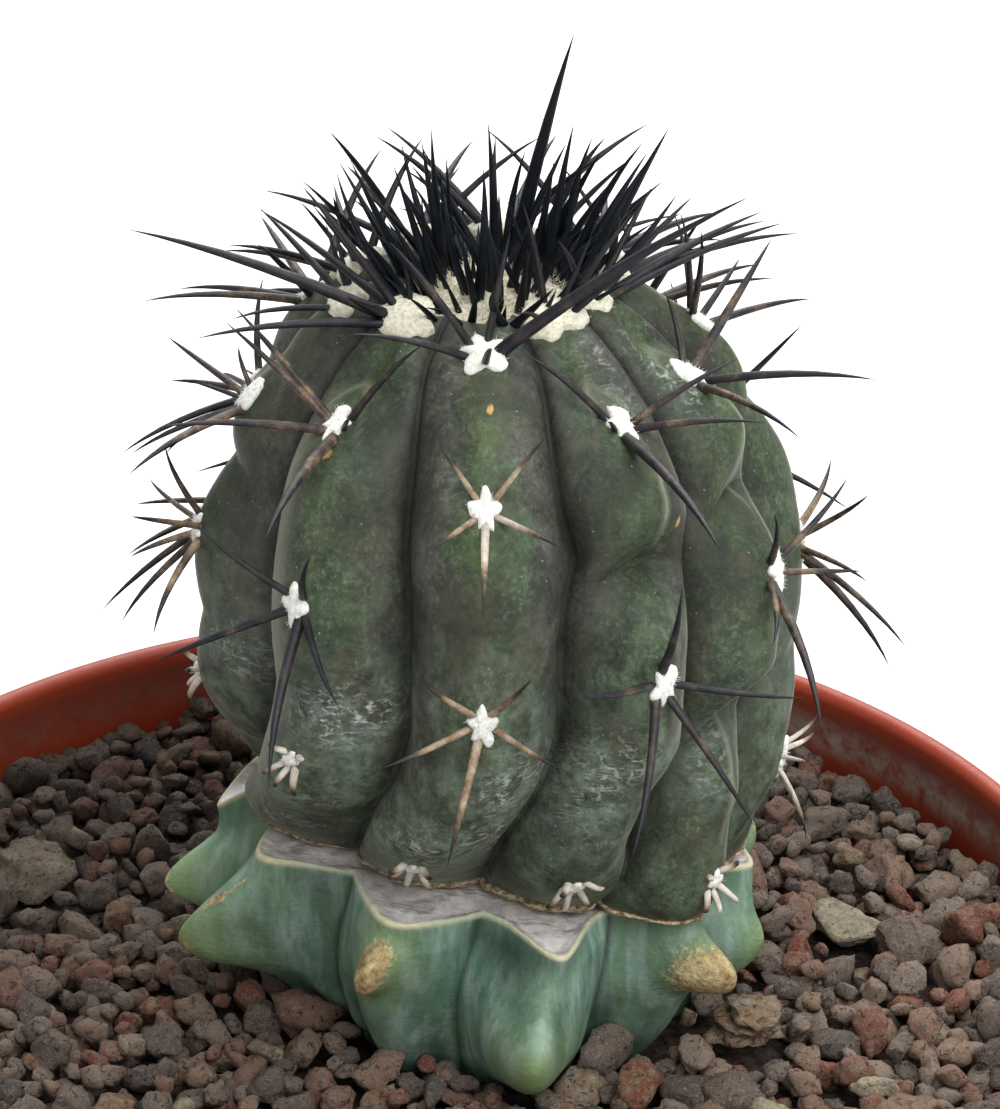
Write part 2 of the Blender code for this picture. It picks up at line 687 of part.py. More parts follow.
def crown_places():
    """Root and tip of every tuft spine: those seen in front, then a spiral of others among them."""
    draw = random.Random(CROWN_SEED)
    places = list(CROWN_FRONT)
    for k in range(CROWN_FILL):
        away = 7.8 * math.sqrt((k + 0.5) / CROWN_FILL)
        turn = k * math.pi * (3 - math.sqrt(5))
        tilt = math.radians(6 + 4.5 * away + draw.uniform(-6, 6))
        length = draw.uniform(14, 20)
        spread = away + length * math.sin(tilt)
        x, y = math.sin(turn), -math.cos(turn)
        places.append((away * x, away * y, spread * x, spread * y, length * math.cos(tilt)))
    return places


def crown_paths(middle, others):
    """The tuft's spines, each turned on until it passes clear of the side spines."""
    taken = np.vstack([path_points(path) for path, _ in others])
    paths = []
    for root_x, root_y, *tip in crown_places():
        for turn in (0, 8, -8, 16, -16, 26, -26, 40, -40):
            path = crown_spine(middle, root_x, root_y, tip, math.radians(turn))
            gaps = np.linalg.norm(path_points(path)[:, None, :] - taken[None, :, :], axis=2)
            if gaps.min() > CROWN_CLEARANCE:
                paths.append((path, spine_radius(np.linalg.norm(path[2] - path[0]))))
                break
    return paths


def build_crown(material, others):
    middle_x, middle_y = stem_centre(DISH_FLOOR)
    middle = np.array((middle_x, middle_y, DISH_FLOOR + GAP))
    rings = []
    for share, lift in ((0.94, 0.0), (1.0, 0.8), (1.0, 2.2), (0.86, 3.5), (0.5, CROWN_HEIGHT)):
        ring = []
        for k in range(16):
            angle = 2 * math.pi * k / 16
            lump = 1 - 0.05 * (k % 2) if lift > 1 else 0.95
            radius = CROWN_RADIUS * share * lump
            ring.append(middle + (radius * math.cos(angle), radius * math.sin(angle), lift))
        rings.append(ring)
    points, faces = closed_rings(rings, middle, middle + (0, 0, CROWN_HEIGHT + 0.3))
    crown = add_mesh("crown", to_scene(points), faces, material)
    pieces = [add_spine(path, radius, material) for path, radius in crown_paths(middle, others)]
    fuse(crown, pieces)
    return crown


def main():
    clear_scene()
    plastic = make_material("pot", (0.30, 0.055, 0.022), 0.45)
    stone = make_material("gravel", (0.105, 0.07, 0.058), 0.95)
    blue_green = make_material("rootstock", (0.13, 0.22, 0.17), 0.6)
    grey_green = make_material("scion", (0.10, 0.14, 0.085), 0.65)
    wool = make_material("crown", (0.05, 0.045, 0.04), 0.7)
    build_pot(plastic)
    build_gravel(stone)
    build_rootstock(blue_green)
    spines = side_spines()
    build_scion(grey_green, spines)
    build_crown(wool, spines)


if __name__ == "__main__":
    main()
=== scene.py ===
import json
import math
import random

import bmesh
import bpy
import numpy as np
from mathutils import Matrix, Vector, noise

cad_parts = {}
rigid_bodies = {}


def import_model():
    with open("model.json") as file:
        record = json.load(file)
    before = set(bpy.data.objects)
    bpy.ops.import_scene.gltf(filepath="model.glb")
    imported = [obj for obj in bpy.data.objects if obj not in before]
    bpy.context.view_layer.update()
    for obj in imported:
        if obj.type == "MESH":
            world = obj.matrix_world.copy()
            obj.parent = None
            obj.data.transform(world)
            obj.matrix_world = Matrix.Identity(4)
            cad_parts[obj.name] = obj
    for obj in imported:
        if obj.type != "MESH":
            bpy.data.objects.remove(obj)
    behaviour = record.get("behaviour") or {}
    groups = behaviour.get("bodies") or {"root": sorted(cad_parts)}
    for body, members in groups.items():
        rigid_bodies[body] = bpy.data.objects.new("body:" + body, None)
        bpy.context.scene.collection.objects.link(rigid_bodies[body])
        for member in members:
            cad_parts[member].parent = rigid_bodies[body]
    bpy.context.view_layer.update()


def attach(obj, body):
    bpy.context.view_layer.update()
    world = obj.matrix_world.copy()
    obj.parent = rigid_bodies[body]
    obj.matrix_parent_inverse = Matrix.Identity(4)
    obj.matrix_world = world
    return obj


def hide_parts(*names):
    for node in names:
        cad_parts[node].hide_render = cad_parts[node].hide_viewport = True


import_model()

# Sizes are in millimetres, as in the part's source, and turn into metres where a mesh is made.
# The plant's heights are measured from the middle of the graft cut, its azimuths in degrees from the
# front (-Y) towards +X, and a spine's clock angle from straight up the rib towards the viewer's right.
MM = 0.001

# Camera
VIEW_ELEVATION = 28.4
VIEW_DISTANCE = 402
VIEW_TARGET = (9.5, 15, 161.5)
LENS = 118.45
SENSOR = 36

# Surroundings
FLOOR_HALF = 4
WORLD_STRENGTH = 0.5
LIGHT_TARGET = (0, 0, 0.13)
# Area lights: name, place in metres, size and power
LIGHTS = (("key", (0.35, -0.45, 0.95), 0.8, 10), ("rear", (0.1, 0.75, 0.85), 0.9, 13))

# Pot
POT_RADIUS = 80
POT_HEIGHT = 118
POT_WALL = 2
POT_FOOT_RADIUS = 55
POT_FOOT_WIDTH = 10
POT_FLOOR = 5
POT_RECESS = 3
COLLAR_BOTTOM = 97
LIP_RADIUS = 1.4
POT_SHOULDER = 6
POT_SIDES = 192
DRAIN_RADIUS = 4
DRAIN_CIRCLE = 34
DRAIN_COUNT = 6
# Where the band of lime is strongest
LIME_HEIGHT = 112.2
LIME_AZIMUTH = 130

# Gravel
BED_HEIGHT = 105.5
GRAVEL_TOP = 110.3
GRAVEL_EDGE = 76.2
GRAVEL_MOUND = 3.6
GRAVEL_SEED = 5
STONE_COUNT = 3000
STONE_TRIES = 14
STONE_FACETS = 11
STONE_LARGEST = 3.9
LARGE_KINDS = 26
SMALL_KINDS = 16
# Lumps of a grain: height, fineness and first seed
STONE_LUMPS = ((0.24, 1.3, 1), (0.2, 2.9, 50), (0.13, 6.5, 90))
# Grains above this radius have the finer mesh
STONE_FINE = 1.9
# Tones of the grains and the share of each
STONE_TONES = (0.08, 0.22, 0.36, 0.48, 0.6, 0.7, 0.8, 0.88, 0.95)
STONE_SHARES = (0.12, 0.15, 0.16, 0.17, 0.17, 0.12, 0.06, 0.04, 0.01)
# Stones that stand out: x, y, radius, flatness and tone
NAMED_STONES = (
    (50.7, 19.2, 5.2, 0.55, 0.94), (-47.2, 31, 6, 0.5, 0.92), (50.8, -12.7, 2.6, 0.8, 1),
    (51.6, 33.2, 2.7, 0.8, 0.87), (-33.2, -16.5, 2.9, 0.75, 0.84), (-18.6, 4, 3, 0.8, 0.74),
    (-37.6, 8, 2.6, 0.7, 0.72), (33.5, 55, 3.4, 0.8, 0.72), (62, 10, 3.6, 0.7, 0.5),
)
# A scrap of bark: x, y and radius
BARK = (36.5, -2.8, 5.2)
# Colour of a grain by its tone
LAVA_COLOURS = (
    (0, (102, 92, 87)), (0.2, (130, 114, 103)), (0.4, (164, 147, 133)), (0.55, (166, 138, 118)),
    (0.68, (156, 116, 100)), (0.78, (146, 84, 67)), (0.86, (164, 138, 106)), (0.93, (178, 166, 149)),
    (1, (204, 190, 158)),
)

# Plant
PLANT = np.array((9.5, 15, 128.7))
CUT_LIFT = 1
CUT_SLOPE = -0.12

# Stem of the scion: a superellipse turned about a leaning axis
STEM_RADIUS = 33
STEM_MIDDLE = 27
STEM_RISE = 39
STEM_DROP = 36
STEM_POWER = 2.4
LEAN_FROM = 30
LEAN_SPAN = 34
LEAN_X = -1.5
LEAN_Y = 3
FOOT_X = 3
FOOT_Y = 1.5
DISH_FLOOR = 60
# From this height the skin closes in to the dish, and the areoles are woolly
TOP_FROM = 60
TOP_RADIUS = 12.2
RIB_AZIMUTHS = np.array((-81, -38.5, -3, 31.5, 64.5, 101, 137, 173, 209, 243))
RIB_DRIFTS = np.array((4, -4, 2, 5, 6, 0, 0, 0, 0, 0))
LOW_DRIFTS = np.array((0, 0, 0, -2, -8, -5, 0, 0, 0, 0))
RIB_TWIST = -30
TWIST_TOP = 27
RIBS = len(RIB_AZIMUTHS)
FURROW_DEPTH = 0.19
CLEFT_DEPTH = 0.035
CREST_ROUND = 0.025
CREST_LIFT = 0.9
NOTCH_ABOVE = 6
NOTCH_BELOW = 9
NOTCH_BEND = 4
NOTCH_PUSH = 0.45

# Notches between the tubercles: height and depth of each, rib by rib
NOTCHES = np.array(
    (
        ((59, 2.2), (47.8, 2.6), (29, 1), (5, 0)), ((61.2, 4.8), (48, 0.9), (30, 1.2), (12, 0.8)),
        ((57, 0.8), (40, 1), (18, 0.9), (5, 0)), ((61.4, 4.4), (44.8, 6.5), (19, 1.6), (5, 0)),
        ((61.7, 3.8), (47, 5), (23, 6.5), (5, 0)), ((61, 1), (49.5, 1.8), (22, 0.9), (5, 1.6)),
        ((58, 2.4), (44, 2.6), (24, 2), (5, 0)), ((59.5, 2.4), (46, 2.6), (28, 2), (10, 1)),
        ((57, 2.4), (42, 2.6), (22, 2), (5, 0)), ((61, 1.4), (52, 2.4), (38, 1.6), (12, 1)),
    )
)

# How the scion's foot departs from a circle: azimuth, spread and share of its radius
FOOT_SHAPE = ((-77, 22, 0.22), (-8, 24, -0.16), (38, 15, 0.14))

# Height of every areole, rib by rib
AREOLES = (
    (63.5, 54, 39, 20), (64.5, 57, 40, 22), (63, 52, 31, 8.5), (64.5, 57.5, 33, 8), (64.5, 58, 38.5, 6),
    (64, 58, 32, 10), (62, 55, 36, 14), (64, 56, 38, 20), (62.5, 53, 33, 12), (63, 59, 46, 32),
)
STUB_BELOW = 23
# The white pad in the middle of the front
FRONT_TOP = (2, 63)

# Spines of the areoles in front: clock angle, length and rise off the skin
FRONT_SPINES = {
    (0, 63.5): ((-108, 15, 35), (-125, 11, 20), (-75, 8, 50), (-60, 7, 60), (175, 12, 25)),
    (0, 54): ((-104, 13, 30), (-128, 6, 40), (-178, 13, 25), (144, 16, 30), (-60, 5, 30)),
    (0, 39): ((0, 10, 30), (-84, 9, 30), (-140, 11, 30), (176, 13, 30), (128, 13, 20), (60, 11, 50)),
    (1, 64.5): ((-120, 30, 31), (-144, 22, 20), (-88, 20, 22), (-85, 17, 55), (-20, 8, 60)),
    (1, 57): ((-76, 16, 30), (-88, 15, 40), (44, 13, 30), (-144, 19, 30), (156, 22, 20), (100, 4, 45)),
    (1, 40): ((-44, 12, 40), (40, 11, 30), (-124, 17, 20), (156, 19, 35), (124, 12, 20)),
    (2, 63): ((-53, 14, 40), (18, 12, 45), (-102, 14, 25), (80, 32, 35), (172, 9, 55)),
    (2, 52): ((-38, 7, 25), (42, 9, 25), (-132, 7, 25), (120, 9, 25), (180, 12, 25)),
    (2, 31): ((-40, 10, 25), (35, 9, 25), (-105, 11, 25), (108, 9, 25), (-165, 14, 30)),
    (3, 64.5): ((-5, 12, 50), (58, 9, 60), (102, 13, 45), (72, 13, 45), (-110, 10, 40)),
    (3, 57.5): ((-40, 12, 20), (96, 13, 30), (128, 14, 20), (-164, 25, 20), (-108, 4, 45)),
    (3, 33): ((-12, 14, 25), (100, 14, 30), (-75, 13, 15), (155, 17, 30), (-148, 17, 30)),
    (4, 64.5): ((125, 21, 30), (128, 23, 25), (88, 13, 50), (110, 15, 45), (-60, 12, 45)),
    (4, 58): ((40, 9, 20), (88, 19, 30), (168, 19, 30), (-148, 16, 20)),
    (4, 38.5): ((-36, 10, 20), (56, 11, 30), (116, 11, 30), (-108, 11, 20), (-128, 20, 30)),
    (5, 64): ((170, 21, 25), (165, 18, 30), (145, 10, 45), (162, 10, 30), (-60, 12, 50)),
    (5, 58): ((20, 11, 45), (110, 10, 40), (60, 12, 30), (150, 15, 30), (-20, 11, 50)),
    (5, 32): ((-120, 16, 33), (-42, 12, 33), (-95, 10, 33), (70, 12, 30), (170, 20, 30)),
    (5, 10): ((38, 5, 35), (90, 7, 30), (165, 11, 30), (-60, 4, 35), (-125, 4, 30)),
    (9, 46): ((130, 15, 25), (170, 13, 20), (80, 11, 30), (-50, 12, 35), (-130, 12, 30)),
    (9, 32): ((130, 19, 25), (80, 13, 30), (100, 15, 20), (-60, 12, 30), (170, 14, 25)),
}
STUBS = ((-52, 2.7, 30), (48, 2.2, 30), (-140, 2.6, 25), (138, 3.8, 20), (178, 2.8, 30))
# Clock angles of the spines behind, before they are varied
BACK_CLOCKS = (-52, 52, -118, 118, 180)
PATTERN_SEED = 3
SPINE_SEED = 21
SPINE_SIDES = 8

# How pale the spines of an areole are: 0 black, 0.35 dark brown, 0.65 tan, 1 worn grey
SPINE_TONES = {
    (0, 54): 0.3, (0, 39): 0.42, (1, 57): 0.36, (1, 40): 0.22, (2, 63): 0.2, (2, 52): 0.66, (2, 31): 0.6,
    (3, 57.5): 0.26, (3, 33): 0.24, (4, 58): 0.3, (4, 38.5): 0.34, (5, 32): 0.4, (5, 10): 0.9,
    (9, 32): 0.36,
}
TOP_TONE = 0.12
SIDE_TONE = 0.28
STUB_TONE = 0.95
# Screen colours of a spine: the two darkest, at the sides and in the tuft, then the paler ones by tone
SIDE_BLACKS = ((9.9, 9.9, 15.6), (23.8, 23.8, 32.7))
CROWN_BLACKS = ((4.9, 9.9, 16.8), (14.3, 23.8, 34.6))
HORN_COLOURS = (
    (0.3, (44, 38, 38)), (0.42, (78, 65, 56)), (0.56, (134, 112, 84)), (0.74, (176, 160, 142)),
    (1, (218, 212, 200)),
)

# Marks on the skin: rib, step, height, spread across in steps, spread up, strength
SCARS = (
    (3, 0.35, 61, 0.45, 3.5, 0.7), (4, -0.35, 58, 0.3, 4, 0.8), (1, 0.45, 28.5, 0.45, 3.2, 1.4),
    (1, -0.6, 28.5, 0.3, 3, 0.8), (0, 0.6, 27, 0.4, 3.5, 0.8), (1, 0.35, 15, 0.4, 2, 0.6),
    (2, -0.2, 12, 0.5, 3.5, 0.7), (2, 0.5, 22, 0.5, 4, 0.9), (3, -0.4, 22, 0.4, 5, 0.8),
    (2, 0.7, 14, 0.4, 4, 1), (4, -0.3, 21, 0.3, 5, 0.7), (1, 0.1, 7.5, 0.5, 2.5, 0.8),
    (6, 0.3, 24, 0.4, 4, 0.8), (7, -0.3, 44, 0.3, 5, 0.7), (8, 0.4, 18, 0.5, 4, 0.9),
)
# Small yellow wounds, in the same terms
WOUNDS = ((1, 0.1, 54.4, 0.06, 0.55, 1), (2, 0.08, 59.6, 0.05, 0.4, 1), (3, 0.42, 47.5, 0.05, 0.5, 1))
# Painted highlights where a crest turns away: rib, step, width in steps, lowest and highest point, strength
RIDGE_HIGHLIGHTS = (
    (1, -0.42, 0.2, 36, 60, 0.5), (1, -0.3, 0.12, 24, 40, 0.35), (3, 0.14, 0.045, 45, 57, 0.75),
    (3, 0.2, 0.06, 25, 42, 0.3), (4, 0.1, 0.045, 43, 56, 0.7), (4, 0.05, 0.05, 9, 27, 0.7),
    (0, -0.1, 0.05, 40, 58, 0.3),
)
# Painted highlights along the brows of the tubercles: rib, step, half width in steps, height, sag at the
# ends, strength
BROW_HIGHLIGHTS = (
    (1, -0.1, 0.42, 60.8, 4, 0.65), (3, 0, 0.4, 61.2, 4, 0.6), (4, -0.05, 0.4, 61, 3.5, 0.5),
    (0, 0.1, 0.42, 58, 3.5, 0.35),
)
# Painted shade: how much darker each rib is than the rest
SHADED = (0.6, 0.1, 0, 0.15, 0, 0.1, 0.2, 0.3, 0.3, 0.5)
# How mauve-grey each rib's left and right flank is
MAUVE = (
    (0.7, 0.9), (0.6, 0.45), (1.1, 0.9), (0.55, 1.15), (0.45, 0.7), (0.4, 0.4), (0.7, 0.7), (0.9, 0.6),
    (0.6, 0.9), (0.9, 0.8),
)

# Rootstock: each rib's azimuth at the cut, then its knob's azimuth, radius and height
ROOT_RIBS = np.array(
    (
        (-95, -88, 38, -10), (-58, -70, 38.5, -10), (-23, -29, 34.4, -4.8), (13, 6, 35, -13.2),
        (47, 46, 35.6, -6.4), (75, 70, 31.4, -12.5), (110, 106, 31.2, -9), (147, 145, 35, -11),
        (185, 184, 34.5, -9), (226, 228, 35.5, -12),
    )
)
# Height and radius along a crest and along a furrow
ROOT_CREST = ((-40, 12), (-28, 19), (-19, 25.5), (-14, 28), (-8, 30), (0, 29.6), (9, 29.6))
ROOT_FURROW = ((-40, 10.5), (-28, 17.5), (-19, 22.5), (-14, 23.5), (-8, 24.5), (0, 24), (9, 24))
# Each knob's half width in steps, how far it reaches up and down, and how blunt it is
ROOT_KNOBS = np.array(
    (
        (0.42, 4.6, 4.4, 1), (0.42, 7, 4.2, 1), (0.2, 2.3, 2.6, 1.4), (0.52, 6.6, 6.2, 1.4),
        (0.30, 3.7, 3.4, 1.6), (0.45, 4.5, 5, 1.2), (0.45, 5, 5, 1.2), (0.45, 6.5, 5, 1.2),
        (0.45, 6.5, 5, 1.2), (0.45, 6.5, 5, 1.2),
    )
)
# How concave each rib's end is at the cut
ROOT_HOLLOW = np.array((1.3, 1.2, 1.1, 2.3, 1.4, 1.5, 1.4, 1.4, 1.4, 1.4))
# How far each rib's end stands out at the cut, and how far it is bevelled down there
ROOT_EDGE_OUT = np.array((3, 0.3, 0, 0.8, 0, 0, 0, 0.5, 0, 1))
ROOT_EDGE_DROP = np.array((6.2, 0.4, 0.2, 0.8, 0, 0.3, 0.8, 0.4, 0.8, 0.4))
FLUTE_DEPTH = 1
# Corky patches of the knobs: rib, step, height, spread in steps, spread up, strength
ROOT_CORK = (
    (0, 0, -10.5, 0.12, 2.2, 0.8), (1, 0, -10.6, 0.14, 1.8, 0.9), (1, 0.02, -4.8, 0.06, 1.1, 0.9),
    (1, 0.05, -2.6, 0.03, 1.2, 0.6), (2, -0.02, -4.2, 0.18, 2.3, 1.4), (3, 0, -17, 0.20, 2, 0.35),
    (4, -0.06, -6.6, 0.26, 3.3, 1.6), (5, 0, -10, 0.15, 1.8, 0.4), (6, 0, -8, 0.15, 2.2, 0.8),
    (7, 0, -11, 0.15, 2.2, 0.9), (8, 0, -9, 0.15, 2.2, 0.8), (9, 0, -12, 0.15, 2.2, 0.9),
)
# Rings of the cut: inset from its edge, lift, and how much of plate and of cream rim each shows
RIM_RINGS = (
    (0, 0, 0, 1), (0.15, 0.2, 0.1, 1), (0.4, 0.3, 0.4, 0.9), (0.75, 0.15, 0.9, 0.3),
    (1.3, -0.15, 1, 0), (2.5, -0.45, 1, 0), (3.5, -0.6, 1, 0), (5, -0.5, 1, 0),
    (7, -0.2, 1, 0), (10, -0.1, 1, 0), (14, -0.3, 1, 0),
)

# Seam, pads and wool
SEAM_SIDES = 9
PAD_SIDES = 60
PAD_SEED = 17
# Rings of a pad and of the crown's wool dome: share of the radius, and lift
PAD_RINGS = ((0.97, -1.1), (1.05, -0.15), (1, 0.25), (0.82, 0.62), (0.55, 0.88), (0.25, 1))
WOOL_RINGS = (
    (0.9, -0.2), (1, 1), (1, 2), (0.93, 2.8), (0.8, 3.4), (0.6, 3.9), (0.35, 4.2), (0.12, 4.3),
)
WOOL_RADIUS = 9.4
WOOL_SIDES = 72
WOOL_HAIRS = 1800
HAIR_WIDTH = 0.045
# Pads: half width, half height and thickness
SIDE_PAD = (1.5, 2.2, 0.45)
STUB_PAD = (1, 1.2, 0.5)
FRONT_TOP_PAD = (2.5, 2.7, 0.7)
WOOL_PAD = (3.4, 2.6, 1.2)
# The woolly pads that are smaller than the rest, by rib
WOOL_PADS = {0: (2.6, 2.1, 0.9), 4: (2.3, 2, 0.8), 5: (2.6, 2.1, 0.9)}

# Crown tuft: the spines seen in front, each from its root (x, y) to its tip (x, y, z) off the tuft's middle
CROWN_FRONT = (
    (2, 6, 9, 6, 29.9), (6, 3, 9, 2, 21.5), (8, 3, 11, 2, 20), (9, 2, 19, 2, 21), (8.5, 4, 16.5, 5.5, 18),
    (9, 1, 17, 2, 17.5), (9, -1, 20, 2, 13.5), (3.5, 4.5, 7, 6.5, 15.5), (2, 5.5, 4, 7, 16.5),
    (1, 1.5, 0, 1, 22), (-1.5, -4, -0.5, -5.5, 19.5), (-4, 4.5, -6, 4.5, 20), (-4.5, 2.5, -7, 3, 19),
    (-3.5, 7, -4.5, 7.5, 15.5), (0.5, 7, -7, 8.5, 16), (-3, 5, -10, 7, 13), (-4, 1, -8.5, 1, 13),
    (-5, -1, -7, -1, 14.5), (1, -2, -4.5, -4.5, 14.5), (-7, 1.5, -14.5, 1.5, 17.5), (-8, -1, -16, 1, 16.5),
    (-8.5, 0.5, -19.5, -1.5, 16.5), (-7.5, 4, -19.5, 5, 12.5), (-7.5, -3, -18.5, -2, 14),
    (-6.5, 5.5, -14, 7, 10.5), (-5, 7.5, -13.5, 9, 11), (4.5, -3, -0.5, -4, 11.5), (7, -1, 2, 1.5, 13),
    (4.5, 7, 12, 3, 18), (6, 6.5, 14.5, 8.5, 13.5),
)
CROWN_FILL = 70
TUFT_RADIUS = 9
# Spines at least this long stay nearly straight
LONG_SPINE = 20
CROWN_SEED = 11
TUFT_SEED = 4


# Meshes


def set_attribute(mesh, key, values):
    layer = mesh.attributes.new(key, "FLOAT", "POINT")
    layer.data.foreach_set("value", np.asarray(values, np.float32))


def linked(name, data):
    """A new object in the scene."""
    thing = bpy.data.objects.new(name, data)
    bpy.context.scene.collection.objects.link(thing)
    return thing


def add_piece(name, points, faces, material, nodes, attributes=None):
    """A smooth piece in metres that rides on the root body and stands for CAD nodes."""
    mesh = bpy.data.meshes.new(name)
    mesh.from_pydata((np.asarray(points, float) * MM).tolist(), [], [list(face) for face in faces])
    for key, values in (attributes or {}).items():
        set_attribute(mesh, key, values)
    mesh.materials.append(material)
    mesh.shade_smooth()
    piece = linked(name, mesh)
    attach(piece, "root")
    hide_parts(*nodes)
    return piece


class Batch:
    """Collects many small closed meshes, with their attributes, for one piece."""

    def __init__(self, *keys):
        self.points = []
        self.faces = []
        self.count = 0
        self.values = {key: [] for key in keys}

    def add(self, points, faces, **values):
        self.points.append(points)
        self.faces.append(np.asarray(faces) + self.count)
        for key, value in values.items():
            self.values[key].append(np.broadcast_to(value, len(points)))
        self.count += len(points)

    def piece(self, name, material, nodes):
        attributes = {key: np.concatenate(value) for key, value in self.values.items()}
        faces = np.concatenate(self.faces).tolist()
        return add_piece(name, np.concatenate(self.points), faces, material, nodes, attributes)


def ring_faces(rows, columns):
    """Quads between the rows of closed rings."""
    row, column = np.meshgrid(np.arange(rows - 1), np.arange(columns), indexing="ij")
    here, after = row * columns + column, row * columns + (column + 1) % columns
    return np.stack((here, after, after + columns, here + columns), -1).reshape(-1, 4).tolist()


def capped(rings):
    """Points and faces of a closed skin through rings, with each end closed by a fan."""
    grid = np.array(rings)
    rows, columns = grid.shape[:2]
    points = np.vstack((grid.reshape(-1, 3), grid[0].mean(0), grid[-1].mean(0)))
    faces = ring_faces(rows, columns)
    last = rows * columns
    top = last - columns
    for k in range(columns):
        after = (k + 1) % columns
        faces.append([last, after, k])
        faces.append([last + 1, top + k, top + after])
    return points, faces


def triangles_of(faces):
    """The same faces with each quad cut in two."""
    return [[face[0], *pair] for face in faces for pair in zip(face[1:], face[2:])]


def ring(radius, height, sides):
    angles = np.arange(sides) * 2 * math.pi / sides
    return np.stack((radius * np.cos(angles), radius * np.sin(angles), np.full(sides, height)), 1)


def turned(profile, sides):
    """A closed solid of revolution from (radius, height) points that start and end on the axis."""
    return capped([ring(radius, height, sides) for radius, height in profile[1:-1]])


def rough(points, scale, seed):
    """Smooth noise from -1 to 1 at every point, with features about 1/scale across."""
    shift = Vector((seed * 7.3, seed * 3.1, seed * 5.7))
    flat = np.asarray(points, float).reshape(-1, 3) * scale
    values = [noise.noise(Vector(point) + shift) for point in flat.tolist()]
    return np.array(values).reshape(np.shape(points)[:-1])


def unit(vector):
    return vector / np.linalg.norm(vector)


def bell(offset, width):
    """A smooth hump that is 1 in the middle and fades beyond the width."""
    return np.exp(-((offset / width) ** 2))


def soft_spots(table, rib, step, level):
    """Sum of the spots in rows of (rib, step, height, spread across in steps, spread up, strength)."""
    total = 0
    for k, at_step, at_height, across, up, strength in table:
        total = total + (rib == k) * strength * bell(step - at_step, across) * bell(level - at_height, up)
    return total


def around(ribs, count):
    """Rib number and step of every point of a ring, step going from -1 to 1 across each rib."""
    steps = np.linspace(-1, 1, count + 1)[1:]
    return np.repeat(np.arange(ribs), count), np.tile(steps, ribs)


# Materials


def linear(colour):
    """A field as it is, or an 8-bit screen colour as linear RGBA."""
    if isinstance(colour, Field):
        return colour
    parts = [part / 255 for part in colour]
    parts = [part / 12.92 if part <= 0.04045 else ((part + 0.055) / 1.055) ** 2.4 for part in parts]
    return (*parts, 1)


class Field:
    """A number or colour that varies over a surface. Its arithmetic is done by nodes."""

    def __init__(self, tree, kind, inputs=None, output=0, **settings):
        self.tree = tree
        self.node = tree.nodes.new(kind)
        for key, value in settings.items():
            setattr(self.node, key, value)
        for key, value in (inputs or {}).items():
            if isinstance(value, Field):
                tree.links.new(value.socket, self.node.inputs[key])
            else:
                self.node.inputs[key].default_value = value
        self.socket = self.node.outputs[output]

    def maths(self, operation, first, second):
        return Field(self.tree, "ShaderNodeMath", {0: first, 1: second}, operation=operation)

    def __add__(self, other):
        return self.maths("ADD", self, other)

    def __sub__(self, other):
        return self.maths("SUBTRACT", self, other)

    def __rsub__(self, other):
        return self.maths("SUBTRACT", other, self)

    def __mul__(self, other):
        return self.maths("MULTIPLY", self, other)

    def larger(self, other):
        return self.maths("MAXIMUM", self, other)

    def spread(self, low, high, start=0, end=1):
        """Its share of the way from low to high, clamped, as a number from start to end."""
        inputs = {"Value": self, "From Min": low, "From Max": high, "To Min": start, "To Max": end}
        return Field(self.tree, "ShaderNodeMapRange", inputs, clamp=True)


